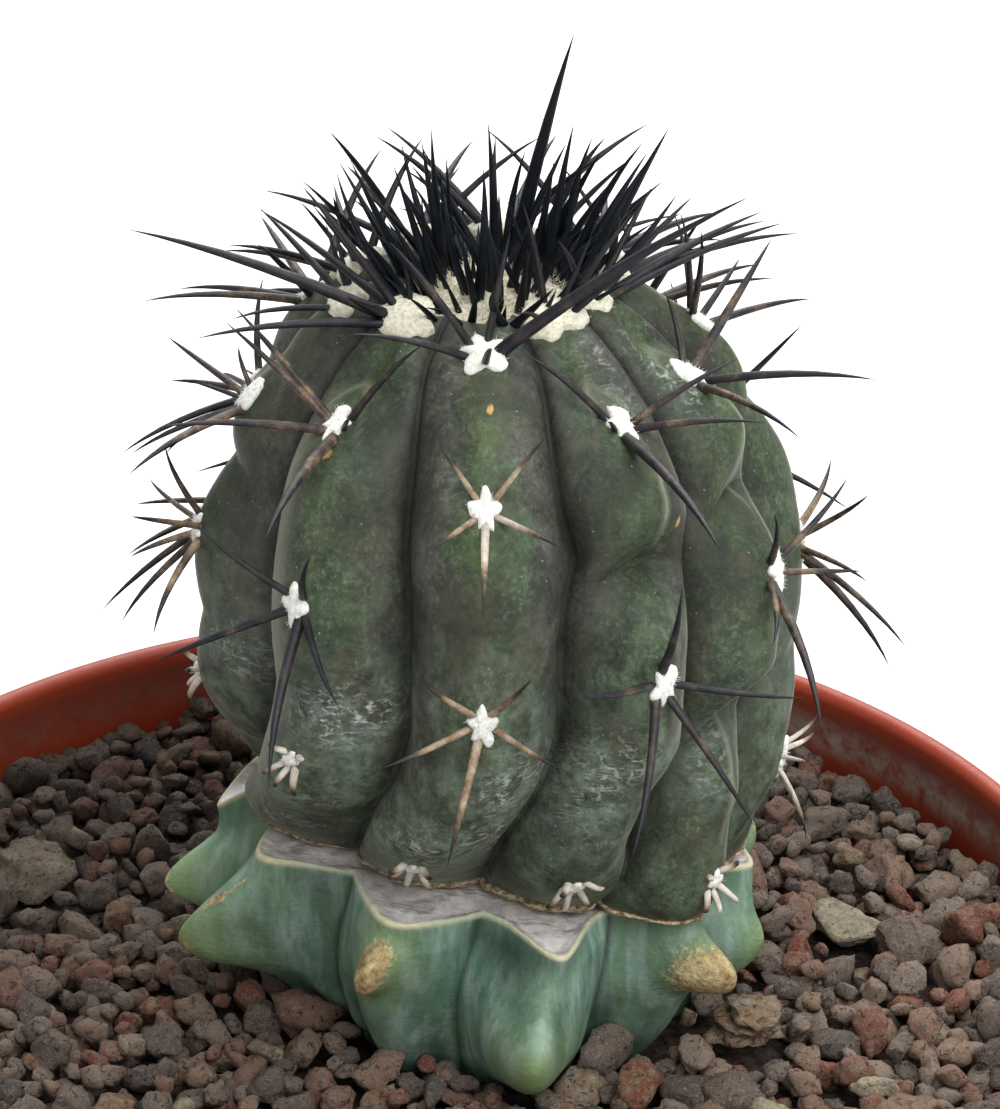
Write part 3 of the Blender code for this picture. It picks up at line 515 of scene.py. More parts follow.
class Paint:
    """A material in the making: its nodes, its shader and the colour reached so far."""

    def __init__(self, name, **fixed):
        self.material = bpy.data.materials.new(name)
        self.material.use_nodes = True
        self.tree = self.material.node_tree
        self.shader = self.tree.nodes["Principled BSDF"]
        for key, value in fixed.items():
            self.shader.inputs[key.replace("_", " ")].default_value = value
        self.spot = self.place()
        self.colour = None

    def place(self, x=1, y=1, z=1):
        """Object coordinates in millimetres, stretched along the axes."""
        source = Field(self.tree, "ShaderNodeTexCoord", output="Object")
        scale = (x / MM, y / MM, z / MM)
        return Field(self.tree, "ShaderNodeMapping", {"Vector": source, "Scale": scale})

    def axis(self, name):
        return Field(self.tree, "ShaderNodeSeparateXYZ", {"Vector": self.spot}, name)

    def mark(self, name):
        """One of the mesh's own attributes."""
        return Field(self.tree, "ShaderNodeAttribute", output="Fac", attribute_name=name)

    def clouds(self, size, detail=4, roughness=0.55, distortion=0, spot=None):
        """Noise from 0 to 1 with features about size across."""
        inputs = {"Vector": spot or self.spot, "Scale": 1 / size, "Detail": detail}
        inputs.update({"Roughness": roughness, "Distortion": distortion})
        return Field(self.tree, "ShaderNodeTexNoise", inputs, "Fac")

    def cells(self, size, feature, spot=None):
        """Distance in random cells about size across: from their middles (F1) or from their borders."""
        inputs = {"Vector": spot or self.spot, "Scale": 1 / size}
        return Field(self.tree, "ShaderNodeTexVoronoi", inputs, "Distance", feature=feature)

    def warped(self, spot, strength):
        """The same coordinates, bent by noise."""
        bend = Field(self.tree, "ShaderNodeTexNoise", {"Vector": spot, "Scale": 0.8, "Detail": 4}, "Color")
        scaled = Field(self.tree, "ShaderNodeVectorMath", {0: bend, "Scale": strength}, operation="SCALE")
        return Field(self.tree, "ShaderNodeVectorMath", {0: spot, 1: scaled}, operation="ADD")

    def mixed(self, share, first, second):
        inputs = {0: share, 6: linear(first), 7: linear(second)}
        return Field(self.tree, "ShaderNodeMix", inputs, 2, data_type="RGBA")

    def base(self, share, first, second):
        """The colour that the coats go over."""
        self.colour = self.mixed(share, first, second)

    def coat(self, share, colour):
        self.colour = self.mixed(share, self.colour, colour)

    def mottle(self, colour, size, detail, roughness, low, high, most, upright=1):
        """A coat in cloudy patches that are stretched upwards where upright is below 1."""
        noisy = self.clouds(size, detail, roughness, spot=self.place(z=upright))
        self.coat(noisy.spread(low, high, 0, most), colour)

    def ramp(self, value, stops):
        """Colour ramp through (position, 8-bit screen colour) stops."""
        self.colour = Field(self.tree, "ShaderNodeValToRGB", {"Fac": value}, "Color")
        elements = self.colour.node.color_ramp.elements
        while len(elements) < len(stops):
            elements.new(0.5)
        for element, (position, colour) in zip(elements, stops):
            element.position = position
            element.color = linear(colour)

    def finished(self, height=None, distance=0, strength=1, roughness=None):
        """The material, with its colour, its relief in millimetres and its roughness linked."""
        links = {"Base Color": self.colour, "Roughness": roughness}
        if height:
            inputs = {"Height": height, "Distance": distance * MM, "Strength": strength}
            links["Normal"] = Field(self.tree, "ShaderNodeBump", inputs)
        for key, value in links.items():
            if value:
                self.tree.links.new(value.socket, self.shader.inputs[key])
        return self.material


def pot_material():
    """Terracotta-coloured plastic, darker inside with dust and painted shade, with a lime band where water
    stood.
    """
    paint = Paint("pot_plastic", Specular_IOR_Level=0.35)
    mottle = paint.clouds(9)
    fine = paint.clouds(0.8)
    paint.base(mottle, (138, 50, 30), (154, 60, 36))
    # Darker inner wall: dust, and painted shade
    paint.coat(paint.mark("inside") * paint.clouds(5, 6).spread(0.3, 0.7, 0.35, 0.8), (98, 48, 38))
    paint.coat(paint.mark("lime") * paint.clouds(2.5, 8, 0.7).spread(0.36, 0.6), (150, 138, 126))
    return paint.finished(fine * 0.4 + mottle * 1.5, 0.12, 0.5, fine.spread(0.3, 0.7, 0.38, 0.52))


def gravel_material():
    """Crushed lava: dull, porous, each grain in a colour of its own, with painted shade between the grains
    and towards the back.
    """
    paint = Paint("lava_gravel", Roughness=0.95, Specular_IOR_Level=0.2)
    paint.ramp(paint.mark("tone") + paint.clouds(1.4, 4).spread(0.3, 0.7, -0.08, 0.08), LAVA_COLOURS)
    grain = paint.clouds(0.45, 6, 0.72)
    paint.coat(grain.spread(0.46, 0.64, 0, 0.55), (48.4, 43.8, 40.8))
    paint.coat(paint.clouds(0.45, 6, 0.72, 0.4).spread(0.5, 0.68, 0, 0.6), (200, 190, 176))
    pores = paint.clouds(0.8, 3, 0.6, 0.6).spread(0.3, 0.42, 1, 0)
    paint.coat(pores * 0.55, (38.7, 32.7, 30))
    # Painted shade on the low parts of the grains, down between them
    paint.coat(paint.mark("deep") * 0.5, (34, 28.6, 25.5))
    # Painted shade, darker towards the back and the left
    back_shade = paint.axis("Y") - paint.axis("X") * 0.5
    paint.coat(back_shade.spread(-25, 65, 0, 0.66), (38.7, 31.4, 28.6))
    return paint.finished(grain - pores * 0.9, 1)


def bed_material():
    """The dark crumbs under the stones."""
    paint = Paint("gravel_bed", Roughness=1, Specular_IOR_Level=0.1)
    grain = paint.clouds(1.5, 6, 0.65)
    paint.ramp(grain, ((0.35, (22, 17.9, 15.6)), (0.7, (77.4, 64.5, 57.8))))
    return paint.finished(grain, 1.5)


def skin_material():
    """The scion's skin: green along the crests, mauve-grey on the flanks, with bloom, dots and cork,
    painted highlights and sheen, and painted shade in notches and furrows.
    """
    paint = Paint("scion_skin", Specular_IOR_Level=0.35)
    side, bloom = paint.mark("side"), paint.mark("bloom")
    broad = paint.clouds(9, 3)
    streaks = paint.clouds(1.7, 6, 0.65, spot=paint.place(z=0.2)).spread(0.3, 0.7)
    fine = paint.clouds(0.6, 6, 0.7)

    wander = side + broad.spread(0.25, 0.75, -0.22, 0.22) + streaks.spread(0, 1, -0.08, 0.08)
    greenness = (wander * paint.mark("mauve")).spread(0.26, 0.52, 1, 0)
    flank = paint.mixed(streaks, (40, 40, 38), (98, 96, 90))
    paint.base(greenness, flank, paint.mixed(streaks, (26, 42, 21), (63, 87, 48)))
    paint.coat(paint.mark("leafy") * fine.spread(0.3, 0.65, 0.4, 1), (82, 102, 48))

    paint.coat(bloom * paint.clouds(3.6, 8, 0.72).spread(0.38, 0.58) * 0.9, (126, 145, 127))
    paint.coat(fine.spread(0.48, 0.7, 0, 0.55) * broad.spread(0.35, 0.65, 0.5, 1), (148, 157, 140))
    paint.mottle((30, 36, 28), 7, 5, 0.6, 0.44, 0.58, 0.6, 0.6)
    paint.mottle((84, 78, 60), 4.5, 5, 0.65, 0.46, 0.64, 0.5, 0.45)
    paint.mottle((34, 38, 30), 2.6, 8, 0.72, 0.46, 0.64, 0.65)
    dots = paint.cells(1.25, "F1").spread(0.05, 0.11, 1, 0)
    paint.coat(dots * paint.clouds(3, 2).spread(0.5, 0.6) * 0.6, (180, 188, 168))

    flat = paint.place(0.6, 0.6, 1.7)
    lines = paint.cells(1.3, "DISTANCE_TO_EDGE", paint.warped(flat, 1.4)).spread(0.04, 0.14, 1, 0)
    scurf = paint.clouds(0.85, 8, 0.8, 0.7, flat).spread(0.5, 0.62)
    broken = paint.clouds(1.3, 6, 0.72).spread(0.47, 0.59)
    scars = (lines * broken * 0.9).larger(scurf * broken * 0.8) * paint.mark("scar")
    paint.coat(scars, (200, 210, 200))
    specks = paint.clouds(0.5, 6, 0.75).spread(0.54, 0.68) * paint.clouds(4, 4).spread(0.4, 0.6)
    paint.coat(specks * bloom * 0.5, (146, 160, 146))
    paint.coat(paint.mark("scar") * paint.clouds(1.8, 6, 0.7).spread(0.48, 0.66, 0, 0.6), (136, 148, 140))

    # Painted highlights along the crests and the brows of the tubercles
    paint.coat(paint.mark("edge") * fine.spread(0.3, 0.6, 0.6, 1), (150, 154, 132))
    paint.coat(paint.mark("wound").spread(0.3, 0.6), (196, 160, 84))
    paint.coat(paint.mark("cork"), (172, 142, 92))
    # Painted sheen: paler where the skin turns away from the view, except near the furrows
    facing = Field(paint.tree, "ShaderNodeLayerWeight", {"Blend": 0.5}, "Facing")
    paint.coat(facing.spread(0.7, 0.96, 0, 0.55) * side.spread(0.7, 0.92, 1, 0), (164, 164, 146))
    # Painted shade in the notches and on the darker ribs
    paint.coat(paint.mark("fold") * 0.45, (34, 36, 28))
    # Painted shade towards the furrows, weaker where the bloom is
    furrow_shade = side.spread(0.5, 1, 0, 0.5) + side.spread(0.86, 1, 0, 0.3)
    paint.coat(furrow_shade * bloom.spread(0.15, 1, 1, 0.45), (32, 31, 29))
    height = fine * 0.35 + paint.clouds(2.4, 4) + scars * 0.5
    return paint.finished(height, 0.3, 0.6, fine.spread(0.3, 0.7, 0.5, 0.72))


def stock_material():
    """The rootstock: blue-green with waxy streaks, corky knobs, a cream rim and the grey dried cut, with
    painted shade in furrows and flute hollows and a painted highlight on the knobs.
    """
    paint = Paint("rootstock_skin", Specular_IOR_Level=0.4)
    fine = paint.clouds(0.6, 5, 0.65)
    paint.base(paint.clouds(7, 3).spread(0.3, 0.7), (88, 126, 112), (120, 154, 122))
    paint.mottle((172, 194, 190), 2.2, 5, 0.6, 0.45, 0.7, 0.75, 0.13)
    paint.mottle((52, 80, 66), 3, 6, 0.65, 0.46, 0.64, 0.42, 0.4)
    paint.coat(fine.spread(0.45, 0.8, 0, 0.25), (150, 164, 140))
    # Young green on the knobs, made paler as a painted highlight at their middle
    paint.coat(paint.mark("fresh") * fine.spread(0.2, 0.6, 0.5, 1), (140, 164, 108))
    rust = paint.clouds(1.2, 6, 0.7).spread(0.3, 0.65)
    corky = (paint.mark("cork") + fine.spread(0.3, 0.7, -0.2, 0.2)).spread(0.35, 0.6)
    paint.coat(corky, paint.mixed(rust, (128, 84, 44), (226, 210, 156)))
    # Painted shade in the furrows and in the hollows of the flutes
    paint.coat(paint.mark("valley") * 0.75, (30, 50, 42))
    plate = paint.mixed(paint.clouds(1.5, 6, 0.65).spread(0.35, 0.65), (196, 191, 192), (240, 236, 232))
    splits = paint.clouds(2, 7, 0.65, 0.8, paint.place(x=0.35)).spread(0.5, 0.66, 0, 0.7)
    paint.coat(paint.mark("plate"), paint.mixed(splits, plate, (134, 122, 112)))
    paint.coat(paint.mark("rim") * fine.spread(0.25, 0.6, 0.55, 1), (214, 206, 170))
    height = fine * 0.4 + rust * paint.mark("cork") * 1.5 - splits * paint.mark("plate")
    return paint.finished(height, 0.4, 0.7, fine.spread(0.3, 0.7, 0.42, 0.62))


def seam_material():
    """The brown corky line where the scion has grown onto the cut."""
    paint = Paint("graft_seam", Roughness=0.85)
    grain = paint.clouds(0.8, 6, 0.7, spot=paint.place(z=2.5))
    paint.ramp(grain, ((0.32, (64, 50, 40)), (0.46, (140, 118, 90)), (0.6, (206, 192, 160))))
    return paint.finished(paint.clouds(0.5, 5), 0.4)


def felt_material(name, pale, shade):
    """Wool of the areoles."""
    paint = Paint(name, Roughness=0.95, Specular_IOR_Level=0.15, Sheen_Weight=0.25)
    tuft = paint.clouds(0.45, 5, 0.6)
    paint.base(tuft.spread(0.3, 0.62), shade, pale)
    paint.mottle((206, 196, 166), 2, 3, 0.55, 0.5, 0.72, 0.4)
    return paint.finished(tuft, 0.3, 0.6)


def spine_material(name, shine, darkest):
    """Spines from black to worn grey, streaked along their length and darker towards the tip."""
    paint = Paint(name, Specular_IOR_Level=shine)
    tone = paint.mark("tone")
    fine = paint.clouds(0.35, 4, 0.7)
    level = tone + paint.clouds(2.4, 3, 0.6).spread(0.3, 0.7, -0.16, 0.2)
    level = level + fine.spread(0.3, 0.7, -0.07, 0.07)
    tip = paint.mark("along").spread(0.45, 0.85) * tone.spread(0.9, 0.96, 0.75, 0.1)
    paint.ramp(level * (1 - tip), (*zip((0, 0.16), darkest), *HORN_COLOURS))
    return paint.finished(fine, 0.12, 0.6, fine.spread(0.3, 0.7, 0.36, 0.6))


# Pot


def pot_profile():
    """The pot's outline from the middle of its base, over the lip and down to the middle of its floor."""
    foot = POT_FOOT_RADIUS
    shoulder = POT_RADIUS - POT_SHOULDER
    top = POT_RADIUS - 2 * LIP_RADIUS
    throat = POT_RADIUS - POT_WALL - 5.5
    outside = [
        (0, POT_RECESS),
        (foot - POT_FOOT_WIDTH - 1.5, POT_RECESS),
        (foot - POT_FOOT_WIDTH, 0.4),
        (foot - POT_FOOT_WIDTH + 0.4, 0),
        (foot - 0.4, 0),
        (foot + 0.3, 0.2),
        (foot + 1.5, 1.6),
        (shoulder, COLLAR_BOTTOM - 3),
        (shoulder + 0.4, COLLAR_BOTTOM - 1.8),
        (shoulder + 1.4, COLLAR_BOTTOM - 0.8),
        (POT_RADIUS - 1.4, COLLAR_BOTTOM),
        (POT_RADIUS - 0.5, COLLAR_BOTTOM + 0.5),
        (POT_RADIUS - 0.2, COLLAR_BOTTOM + 1.6),
    ]
    lip = []
    for angle in np.radians(np.linspace(0, 180, 13)):
        across = POT_RADIUS - LIP_RADIUS + LIP_RADIUS * math.cos(angle)
        lip.append((across, POT_HEIGHT - LIP_RADIUS + LIP_RADIUS * math.sin(angle)))
    inside = [
        (top, POT_HEIGHT - 3),
        (top - 0.3, COLLAR_BOTTOM + 1.8),
        (throat, COLLAR_BOTTOM),
        (throat - 0.7, COLLAR_BOTTOM - 1.5),
        (foot - 0.8, POT_FLOOR + 1.5),
        (foot - 2.2, POT_FLOOR),
        (0, POT_FLOOR),
    ]
    return outside + lip + inside


def even_profile(profile, step):
    """The same outline with extra points, no further apart than the step."""
    dense = [profile[0]]
    for (r0, h0), (r1, h1) in zip(profile, profile[1:]):
        parts = max(1, math.ceil(math.hypot(r1 - r0, h1 - h0) / step))
        dense += [(r0 + (r1 - r0) * k / parts, h0 + (h1 - h0) * k / parts) for k in range(1, parts + 1)]
    return dense


def cut_drains(pot):
    """Bores the drain holes with one Boolean difference, and removes the cutters."""
    spots = [(0, 0)] + [tuple(spot[:2]) for spot in ring(DRAIN_CIRCLE, 0, DRAIN_COUNT)]
    low, high = POT_RECESS - 2, POT_FLOOR + 2
    points, faces = turned([(0, low), (DRAIN_RADIUS, low), (DRAIN_RADIUS, high), (0, high)], 24)
    group = bpy.data.collections.new("drain_cutters")
    bpy.context.scene.collection.children.link(group)
    for x, y in spots:
        mesh = bpy.data.meshes.new("drain_cutter")
        mesh.from_pydata(((points + (x, y, 0)) * MM).tolist(), [], faces)
        group.objects.link(bpy.data.objects.new("drain_cutter", mesh))
    cut = pot.modifiers.new("drains", "BOOLEAN")
    cut.operation = "DIFFERENCE"
    cut.operand_type = "COLLECTION"
    cut.collection = group
    cut.solver = "MANIFOLD"
    graph = bpy.context.evaluated_depsgraph_get()
    bored = bpy.data.meshes.new_from_object(pot.evaluated_get(graph))
    pot.modifiers.clear()
    pot.data = bored
    for cutter in list(group.objects):
        bpy.data.objects.remove(cutter, do_unlink=True)
    bpy.data.collections.remove(group)


def build_pot():
    points, faces = turned(even_profile(pot_profile(), 4), POT_SIDES)
    pot = add_piece("flower_pot", points, faces, pot_material(), ["pot"])
    cut_drains(pot)
    x, y, height = np.array([vertex.co[:] for vertex in pot.data.vertices]).T / MM
    walls = (POT_FOOT_RADIUS, POT_RADIUS - POT_SHOULDER, 78.2)
    inner = np.interp(height, (0, COLLAR_BOTTOM, POT_HEIGHT), walls)
    inside = (np.hypot(x, y) < inner + 0.2) & (height > POT_FLOOR - 0.5) & (height < POT_HEIGHT - 1.5)
    azimuth = np.degrees(np.arctan2(x, -y))
    lime = inside * bell(height - LIME_HEIGHT, 1.7) * (bell(azimuth - LIME_AZIMUTH, 30) + 0.15)
    set_attribute(pot.data, "inside", inside)
    set_attribute(pot.data, "lime", lime)


# Rootstock's form


def eased(table, height):
    """The table's value at a height, averaged over a few millimetres so that no corner shows."""
    return np.mean([np.interp(height + shift, *zip(*table)) for shift in np.linspace(-2.5, 2.5, 7)], axis=0)


def root_azimuth(rib, turn):
    """A rib's azimuth, turn going from 0 at the cut to 1 at the knobs. Rib numbers run on past the last."""
    turns, spot = np.divmod(rib, len(ROOT_RIBS))
    at_cut, at_knob = ROOT_RIBS[spot, 0], ROOT_RIBS[spot, 1]
    return at_cut + (at_knob - at_cut) * turn + 360 * turns


def root_radius(rib, step, height):
    """Radius and azimuth of the rootstock's skin. Step runs from -1 to 1 across a rib."""
    turn = eased(((-10, 1), (0, 0)), height)
    here = root_azimuth(rib, turn)
    half = np.where(step > 0, root_azimuth(rib + 1, turn) - here, here - root_azimuth(rib - 1, turn)) / 2
    crest = eased(ROOT_CREST, height)
    furrow = eased(ROOT_FURROW, height)
    side = np.abs(step)
    soft = 0.02 + 0.03 * np.exp(height / 6)
    rounded = np.sqrt(side**2 + soft) - np.sqrt(soft)
    hollow = 1.25 + (ROOT_HOLLOW[rib] - 1.25) * np.exp(height / 5)
    radius = furrow + (crest - furrow) * np.clip(1 - rounded / 0.88, 0, 1) ** hollow
    knob_radius, knob_height = ROOT_RIBS[rib, 2], ROOT_RIBS[rib, 3]
    width, above, below, blunt = ROOT_KNOBS[rib].T
    reach = np.where(height > knob_height, above, below)
    away = ((height - knob_height) / reach) ** 2 + (side / width) ** 2
    knob = knob_radius - eased(ROOT_CREST, knob_height)
    radius = radius + knob * np.exp(-(away**blunt))
    radius = radius + ROOT_EDGE_OUT[rib] * bell(side, 0.4) * np.exp(height / 7)
    return radius, here + step * half


def root_drop(rib, step):
    """How far the cut is bevelled down at a rib's end."""
    return ROOT_EDGE_DROP[rib] * bell(step, 0.35)


def root_flutes(angle, height):
    """The fine upright folds between the knobs and the cut, from -1 to 1."""
    spots = np.stack((5.2 * np.sin(angle), 5.2 * np.cos(angle), np.full(len(angle), 0.045 * height)), -1)
    return np.clip(rough(spots, 1, 14) * 2.2, -1, 1)


def cut_height(x):
    """How far the slanting graft cut lies above or below its middle height."""
    return CUT_LIFT + CUT_SLOPE * x


# Gravel


def stone_shapes(draw, count, subdivisions):
    """Points of a few lumpy grains of unit size, and the faces that they share."""
    ball = bmesh.new()
    bmesh.ops.create_icosphere(ball, subdivisions=subdivisions, radius=1)
    ball.verts.ensure_lookup_table()
    base = np.array([vert.co[:] for vert in ball.verts])
    faces = np.array([[vert.index for vert in face.verts] for face in ball.faces])
    ball.free()
    shapes = []
    for k in range(count):
        points = base.copy()
        for _ in range(STONE_FACETS):
            normal = unit(draw.normal(size=3))
            cut = draw.uniform(0.5, 0.88)
            over = np.clip(points @ normal - cut, 0, None)
            points -= 0.8 * over[:, None] * normal
        lumps = sum(high * rough(base, scale, k + seed) for high, scale, seed in STONE_LUMPS)
        shapes.append(points * (1 + lumps)[:, None])
    return shapes, faces


def turned_any_way(draw):
    """A random rotation matrix."""
    w, x, y, z = unit(draw.normal(size=4))
    return np.array(
        (
            (1 - 2 * (y * y + z * z), 2 * (x * y - z * w), 2 * (x * z + y * w)),
            (2 * (x * y + z * w), 1 - 2 * (x * x + z * z), 2 * (y * z - x * w)),
            (2 * (x * z - y * w), 2 * (y * z + x * w), 1 - 2 * (x * x + y * y)),
        )
    )


def root_outline(height):
    """The rootstock's outline at one height, as azimuths in degrees from 0 to 360 and radii."""
    rib, step = around(len(ROOT_RIBS), 24)
    radius, azimuth = root_radius(rib, step, np.full(len(rib), height))
    azimuth = azimuth % 360
    order = np.argsort(azimuth)
    return azimuth[order], radius[order]


def stone_places(draw):
    """Rains stones onto the bed, each into the lowest of a few spots.

    Each is (x, y, z, radius, flatness, tone), with None where the last two are drawn later.
    """
    half = POT_RADIUS
    grid = np.arange(2 * half) - half + 0.5
    grid_x, grid_y = np.meshgrid(grid, grid, indexing="ij")
    outline = root_outline(GRAVEL_TOP - PLANT[2])

    def from_root(x, y):
        """Azimuth around the plant, and distance from the rootstock's skin."""
        azimuth = np.degrees(np.arctan2(x - PLANT[0], PLANT[1] - y)) % 360
        return azimuth, np.hypot(x - PLANT[0], y - PLANT[1]) - np.interp(azimuth, *outline, period=360)

    turns, outside = from_root(grid_x, grid_y)
    open_front = bell((turns + 175) % 360 - 180, 22)
    mound = GRAVEL_MOUND * bell(np.clip(outside, 0, None), 9) * (1 - open_front)
    ground = BED_HEIGHT + mound
    stones = []

    def settle(x, y, z, radius, flatness):
        away = np.hypot(grid_x - x, grid_y - y)
        top = z + flatness * np.sqrt(np.clip(radius**2 - away**2, 0, None))
        return np.where(away < radius, np.maximum(ground, top), ground)

    for x, y, radius, flatness, tone in NAMED_STONES:
        z = GRAVEL_TOP - 0.15 * radius
        stones.append((x, y, z, radius, flatness, tone))
        ground = settle(x, y, z, radius, 1)
    ground = settle(BARK[0], BARK[1], GRAVEL_TOP, BARK[2], 0.6)
    for _ in range(STONE_COUNT):
        radius = min(STONE_LARGEST, 1.15 * math.exp(abs(draw.normal(0, 0.45)) + 0.1))
        found = []
        for _ in range(STONE_TRIES):
            x, y = draw.uniform(-GRAVEL_EDGE, GRAVEL_EDGE, 2)
            if math.hypot(x, y) + 0.85 * radius <= GRAVEL_EDGE and from_root(x, y)[1] > 0.55 * radius:
                i, j = int(x + half), int(y + half)
                reach = max(1, int(0.6 * radius))
                found.append((ground[i - reach : i + reach + 1, j - reach : j + reach + 1].mean(), x, y))
        if not found:
            continue
        level, x, y = min(found, key=lambda spot: spot[0])
        if level <= GRAVEL_TOP + mound[int(x + half), int(y + half)] - 0.6 * radius:
            z = level + 0.5 * radius
            stones.append((x, y, z, radius, None, None))
            ground = settle(x, y, z, radius, 0.85)
    return stones


def build_gravel():
    draw = np.random.default_rng(GRAVEL_SEED)
    material = gravel_material()
    shapes, faces = stone_shapes(draw, LARGE_KINDS, 3)
    small_shapes, small_faces = stone_shapes(draw, SMALL_KINDS, 2)
    batches = [Batch("tone", "deep") for _ in range(4)]
    for x, y, z, radius, flatness, tone in stone_places(draw):
        scale = radius * np.array((1.12, draw.uniform(0.8, 1.05), draw.uniform(0.62, 0.85)))
        spin = turned_any_way(draw)
        lay = np.array((1, 1, flatness or 0.85))
        kinds, kind_faces = (shapes, faces) if radius > STONE_FINE else (small_shapes, small_faces)
        points = (kinds[draw.integers(len(kinds))] * scale) @ spin.T * lay + (x, y, z)
        if tone is None:
            tone = draw.choice(STONE_TONES, p=STONE_SHARES) + draw.uniform(-0.06, 0.06)
        # How far a point sinks between the grains, for their painted shade
        deep = np.clip((GRAVEL_TOP - 3 - points[:, 2]) / 4, 0, 1)
        quarter = int(math.degrees(math.atan2(y, x)) % 360 // 90)
        batches[quarter].add(points, kind_faces, tone=float(np.clip(tone, 0, 1)), deep=deep)
    add_bark(batches[3], shapes, faces)
    for batch, name in zip(batches, ("back_right", "back_left", "front_left", "front_right")):
        batch.piece("gravel_" + name, material, ["gravel"])
    build_bed()


def add_bark(batch, shapes, faces):
    """A scrap of bark: four flat rough flakes on top of each other."""
    for layer in range(4):
        scale = BARK[2] * np.array((1 - 0.1 * layer, 0.62, 0.16))
        turn = math.radians(20 + 16 * layer)
        along, across = math.cos(turn), math.sin(turn)
        spin = np.array(((along, -across, 0), (across, along, 0), (0, 0.2, 1)))
        shape = shapes[layer] * (1 + 0.25 * rough(shapes[layer], 4, layer + 60))[:, None]
        points = (shape * scale) @ spin.T + (BARK[0] + 0.5 * layer, BARK[1], GRAVEL_TOP + 0.9 * layer)
        batch.add(points, faces, tone=0.86, deep=0)


def build_bed():
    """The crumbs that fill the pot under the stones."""
    top = BED_HEIGHT + 1
    profile = [(0, POT_FLOOR + 0.4), (POT_FOOT_RADIUS - 3, POT_FLOOR + 0.4)]
    profile += [(POT_FOOT_RADIUS - 1.3, POT_FLOOR + 2), (71.2, COLLAR_BOTTOM - 1.5)]
    profile += [(72, COLLAR_BOTTOM + 0.4), (76.4, COLLAR_BOTTOM + 2.2), (76.5, top)]
    profile += [(radius, top) for radius in np.linspace(75, 0, 26)]
    points, faces = turned(profile, 96)
    surface = points[:, 2] > BED_HEIGHT
    points[surface, 2] += 0.8 * rough(points[surface], 0.3, 9)
    add_piece("gravel_bed", points, faces, bed_material(), ["gravel"])


# Rootstock


def build_rootstock():
    rib, step = around(len(ROOT_RIBS), 48)
    none = np.zeros(len(rib))
    rows = []
    marks = {"plate": [], "rim": [], "cork": [], "valley": [], "fresh": []}

    def add_row(x, y, z, height, plate, rim, valley):
        rows.append(np.stack((x, y, z), 1))
        # Young green on each knob, which also carries its painted highlight
        fresh = bell(height - ROOT_RIBS[rib, 3], 5) * bell(step, 0.34)
        marks["plate"].append(none + plate)
        marks["rim"].append(rim * (0.45 + 0.55 * bell(step, 0.5)))
        marks["cork"].append(soft_spots(ROOT_CORK, rib, step, height) * (1 - plate))
        marks["fresh"].append(fresh * (1 - plate))
        marks["valley"].append(valley * (1 - plate))

    for height in (*np.linspace(-26, -18, 8), *np.linspace(-17.6, -0.4, 72)):
        radius, azimuth = root_radius(rib, step, none + height)
        angle = np.radians(azimuth)
        folds = root_flutes(angle, height)
        calm = np.clip(-height / 3, 0, 1) * (1 - bell(step, 0.3))
        radius = radius + FLUTE_DEPTH * folds * calm
        x, y = radius * np.sin(angle), -radius * np.cos(angle)
        fade = max(0, 1 + height / 12)
        level = height + fade * (cut_height(x) - root_drop(rib, step))
        # Where the painted shade of furrows and flute hollows falls
        valley = np.clip((np.abs(step) - 0.9) / 0.1, 0, 1) + np.clip(-folds, 0, 1) * calm
        add_row(x, y, level, height, 0, max(0, 1 + height / 0.5) * 0.8, np.clip(valley, 0, 1))
    radius, azimuth = root_radius(rib, step, none)
    angle = np.radians(azimuth)
    for inset, lift, plate, rim in RIM_RINGS:
        inner = np.maximum(radius - inset, 0.1)
        x, y = inner * np.sin(angle), -inner * np.cos(angle)
        drop = root_drop(rib, step) * max(0, 1 - inset / 7)
        add_row(x, y, cut_height(x) + lift - drop, 0, plate, rim, none)
    grid = np.array(rows)
    grid[:, :, :2] *= 1 + 0.008 * rough(grid, 0.16, 3)[..., None]
    grid[:, :, 2] += np.array(marks["plate"]) * (0.35 * rough(grid, 0.45, 4) + 0.2 * rough(grid, 1.2, 5))
    points, faces = capped(grid)
    attributes = {}
    for key, value in marks.items():
        attributes[key] = np.append(np.array(value).ravel(), (0, float(key == "plate")))
    add_piece("rootstock_stem", points + PLANT, faces, stock_material(), ["rootstock"], attributes)


# Scion


def stem_radius(height):
    reach = np.where(height > STEM_MIDDLE, STEM_RISE, STEM_DROP)
    share = np.clip(np.abs(height - STEM_MIDDLE) / reach, 0, 1)
    return STEM_RADIUS * (1 - share**STEM_POWER) ** (1 / STEM_POWER)


def stem_height(radius):
    """The height at which the closing top has this radius."""
    return STEM_MIDDLE + STEM_RISE * (1 - (radius / STEM_RADIUS) ** STEM_POWER) ** (1 / STEM_POWER)


def stem_centre(height):
    rise = np.clip((height - LEAN_FROM) / LEAN_SPAN, 0, None) ** 1.5
    low = np.clip(1 - height / 12, 0, None)
    return LEAN_X * rise + FOOT_X * low, LEAN_Y * rise + FOOT_Y * low


def rib_azimuth(rib, height):
    """A rib's azimuth at a height. Rib numbers run on past the last one, a full turn further."""
    turns, spot = np.divmod(rib, RIBS)
    drift = RIB_DRIFTS[spot] * np.clip((height - 33) / 24, 0, 1)
    drift = drift + LOW_DRIFTS[spot] * np.interp(height, (5, 17, 25, 45), (0, 1, 1, 0))
    twist = RIB_TWIST * np.clip(1 - height / TWIST_TOP, 0, None) ** 1.5
    return RIB_AZIMUTHS[spot] + 360 * turns + drift + twist


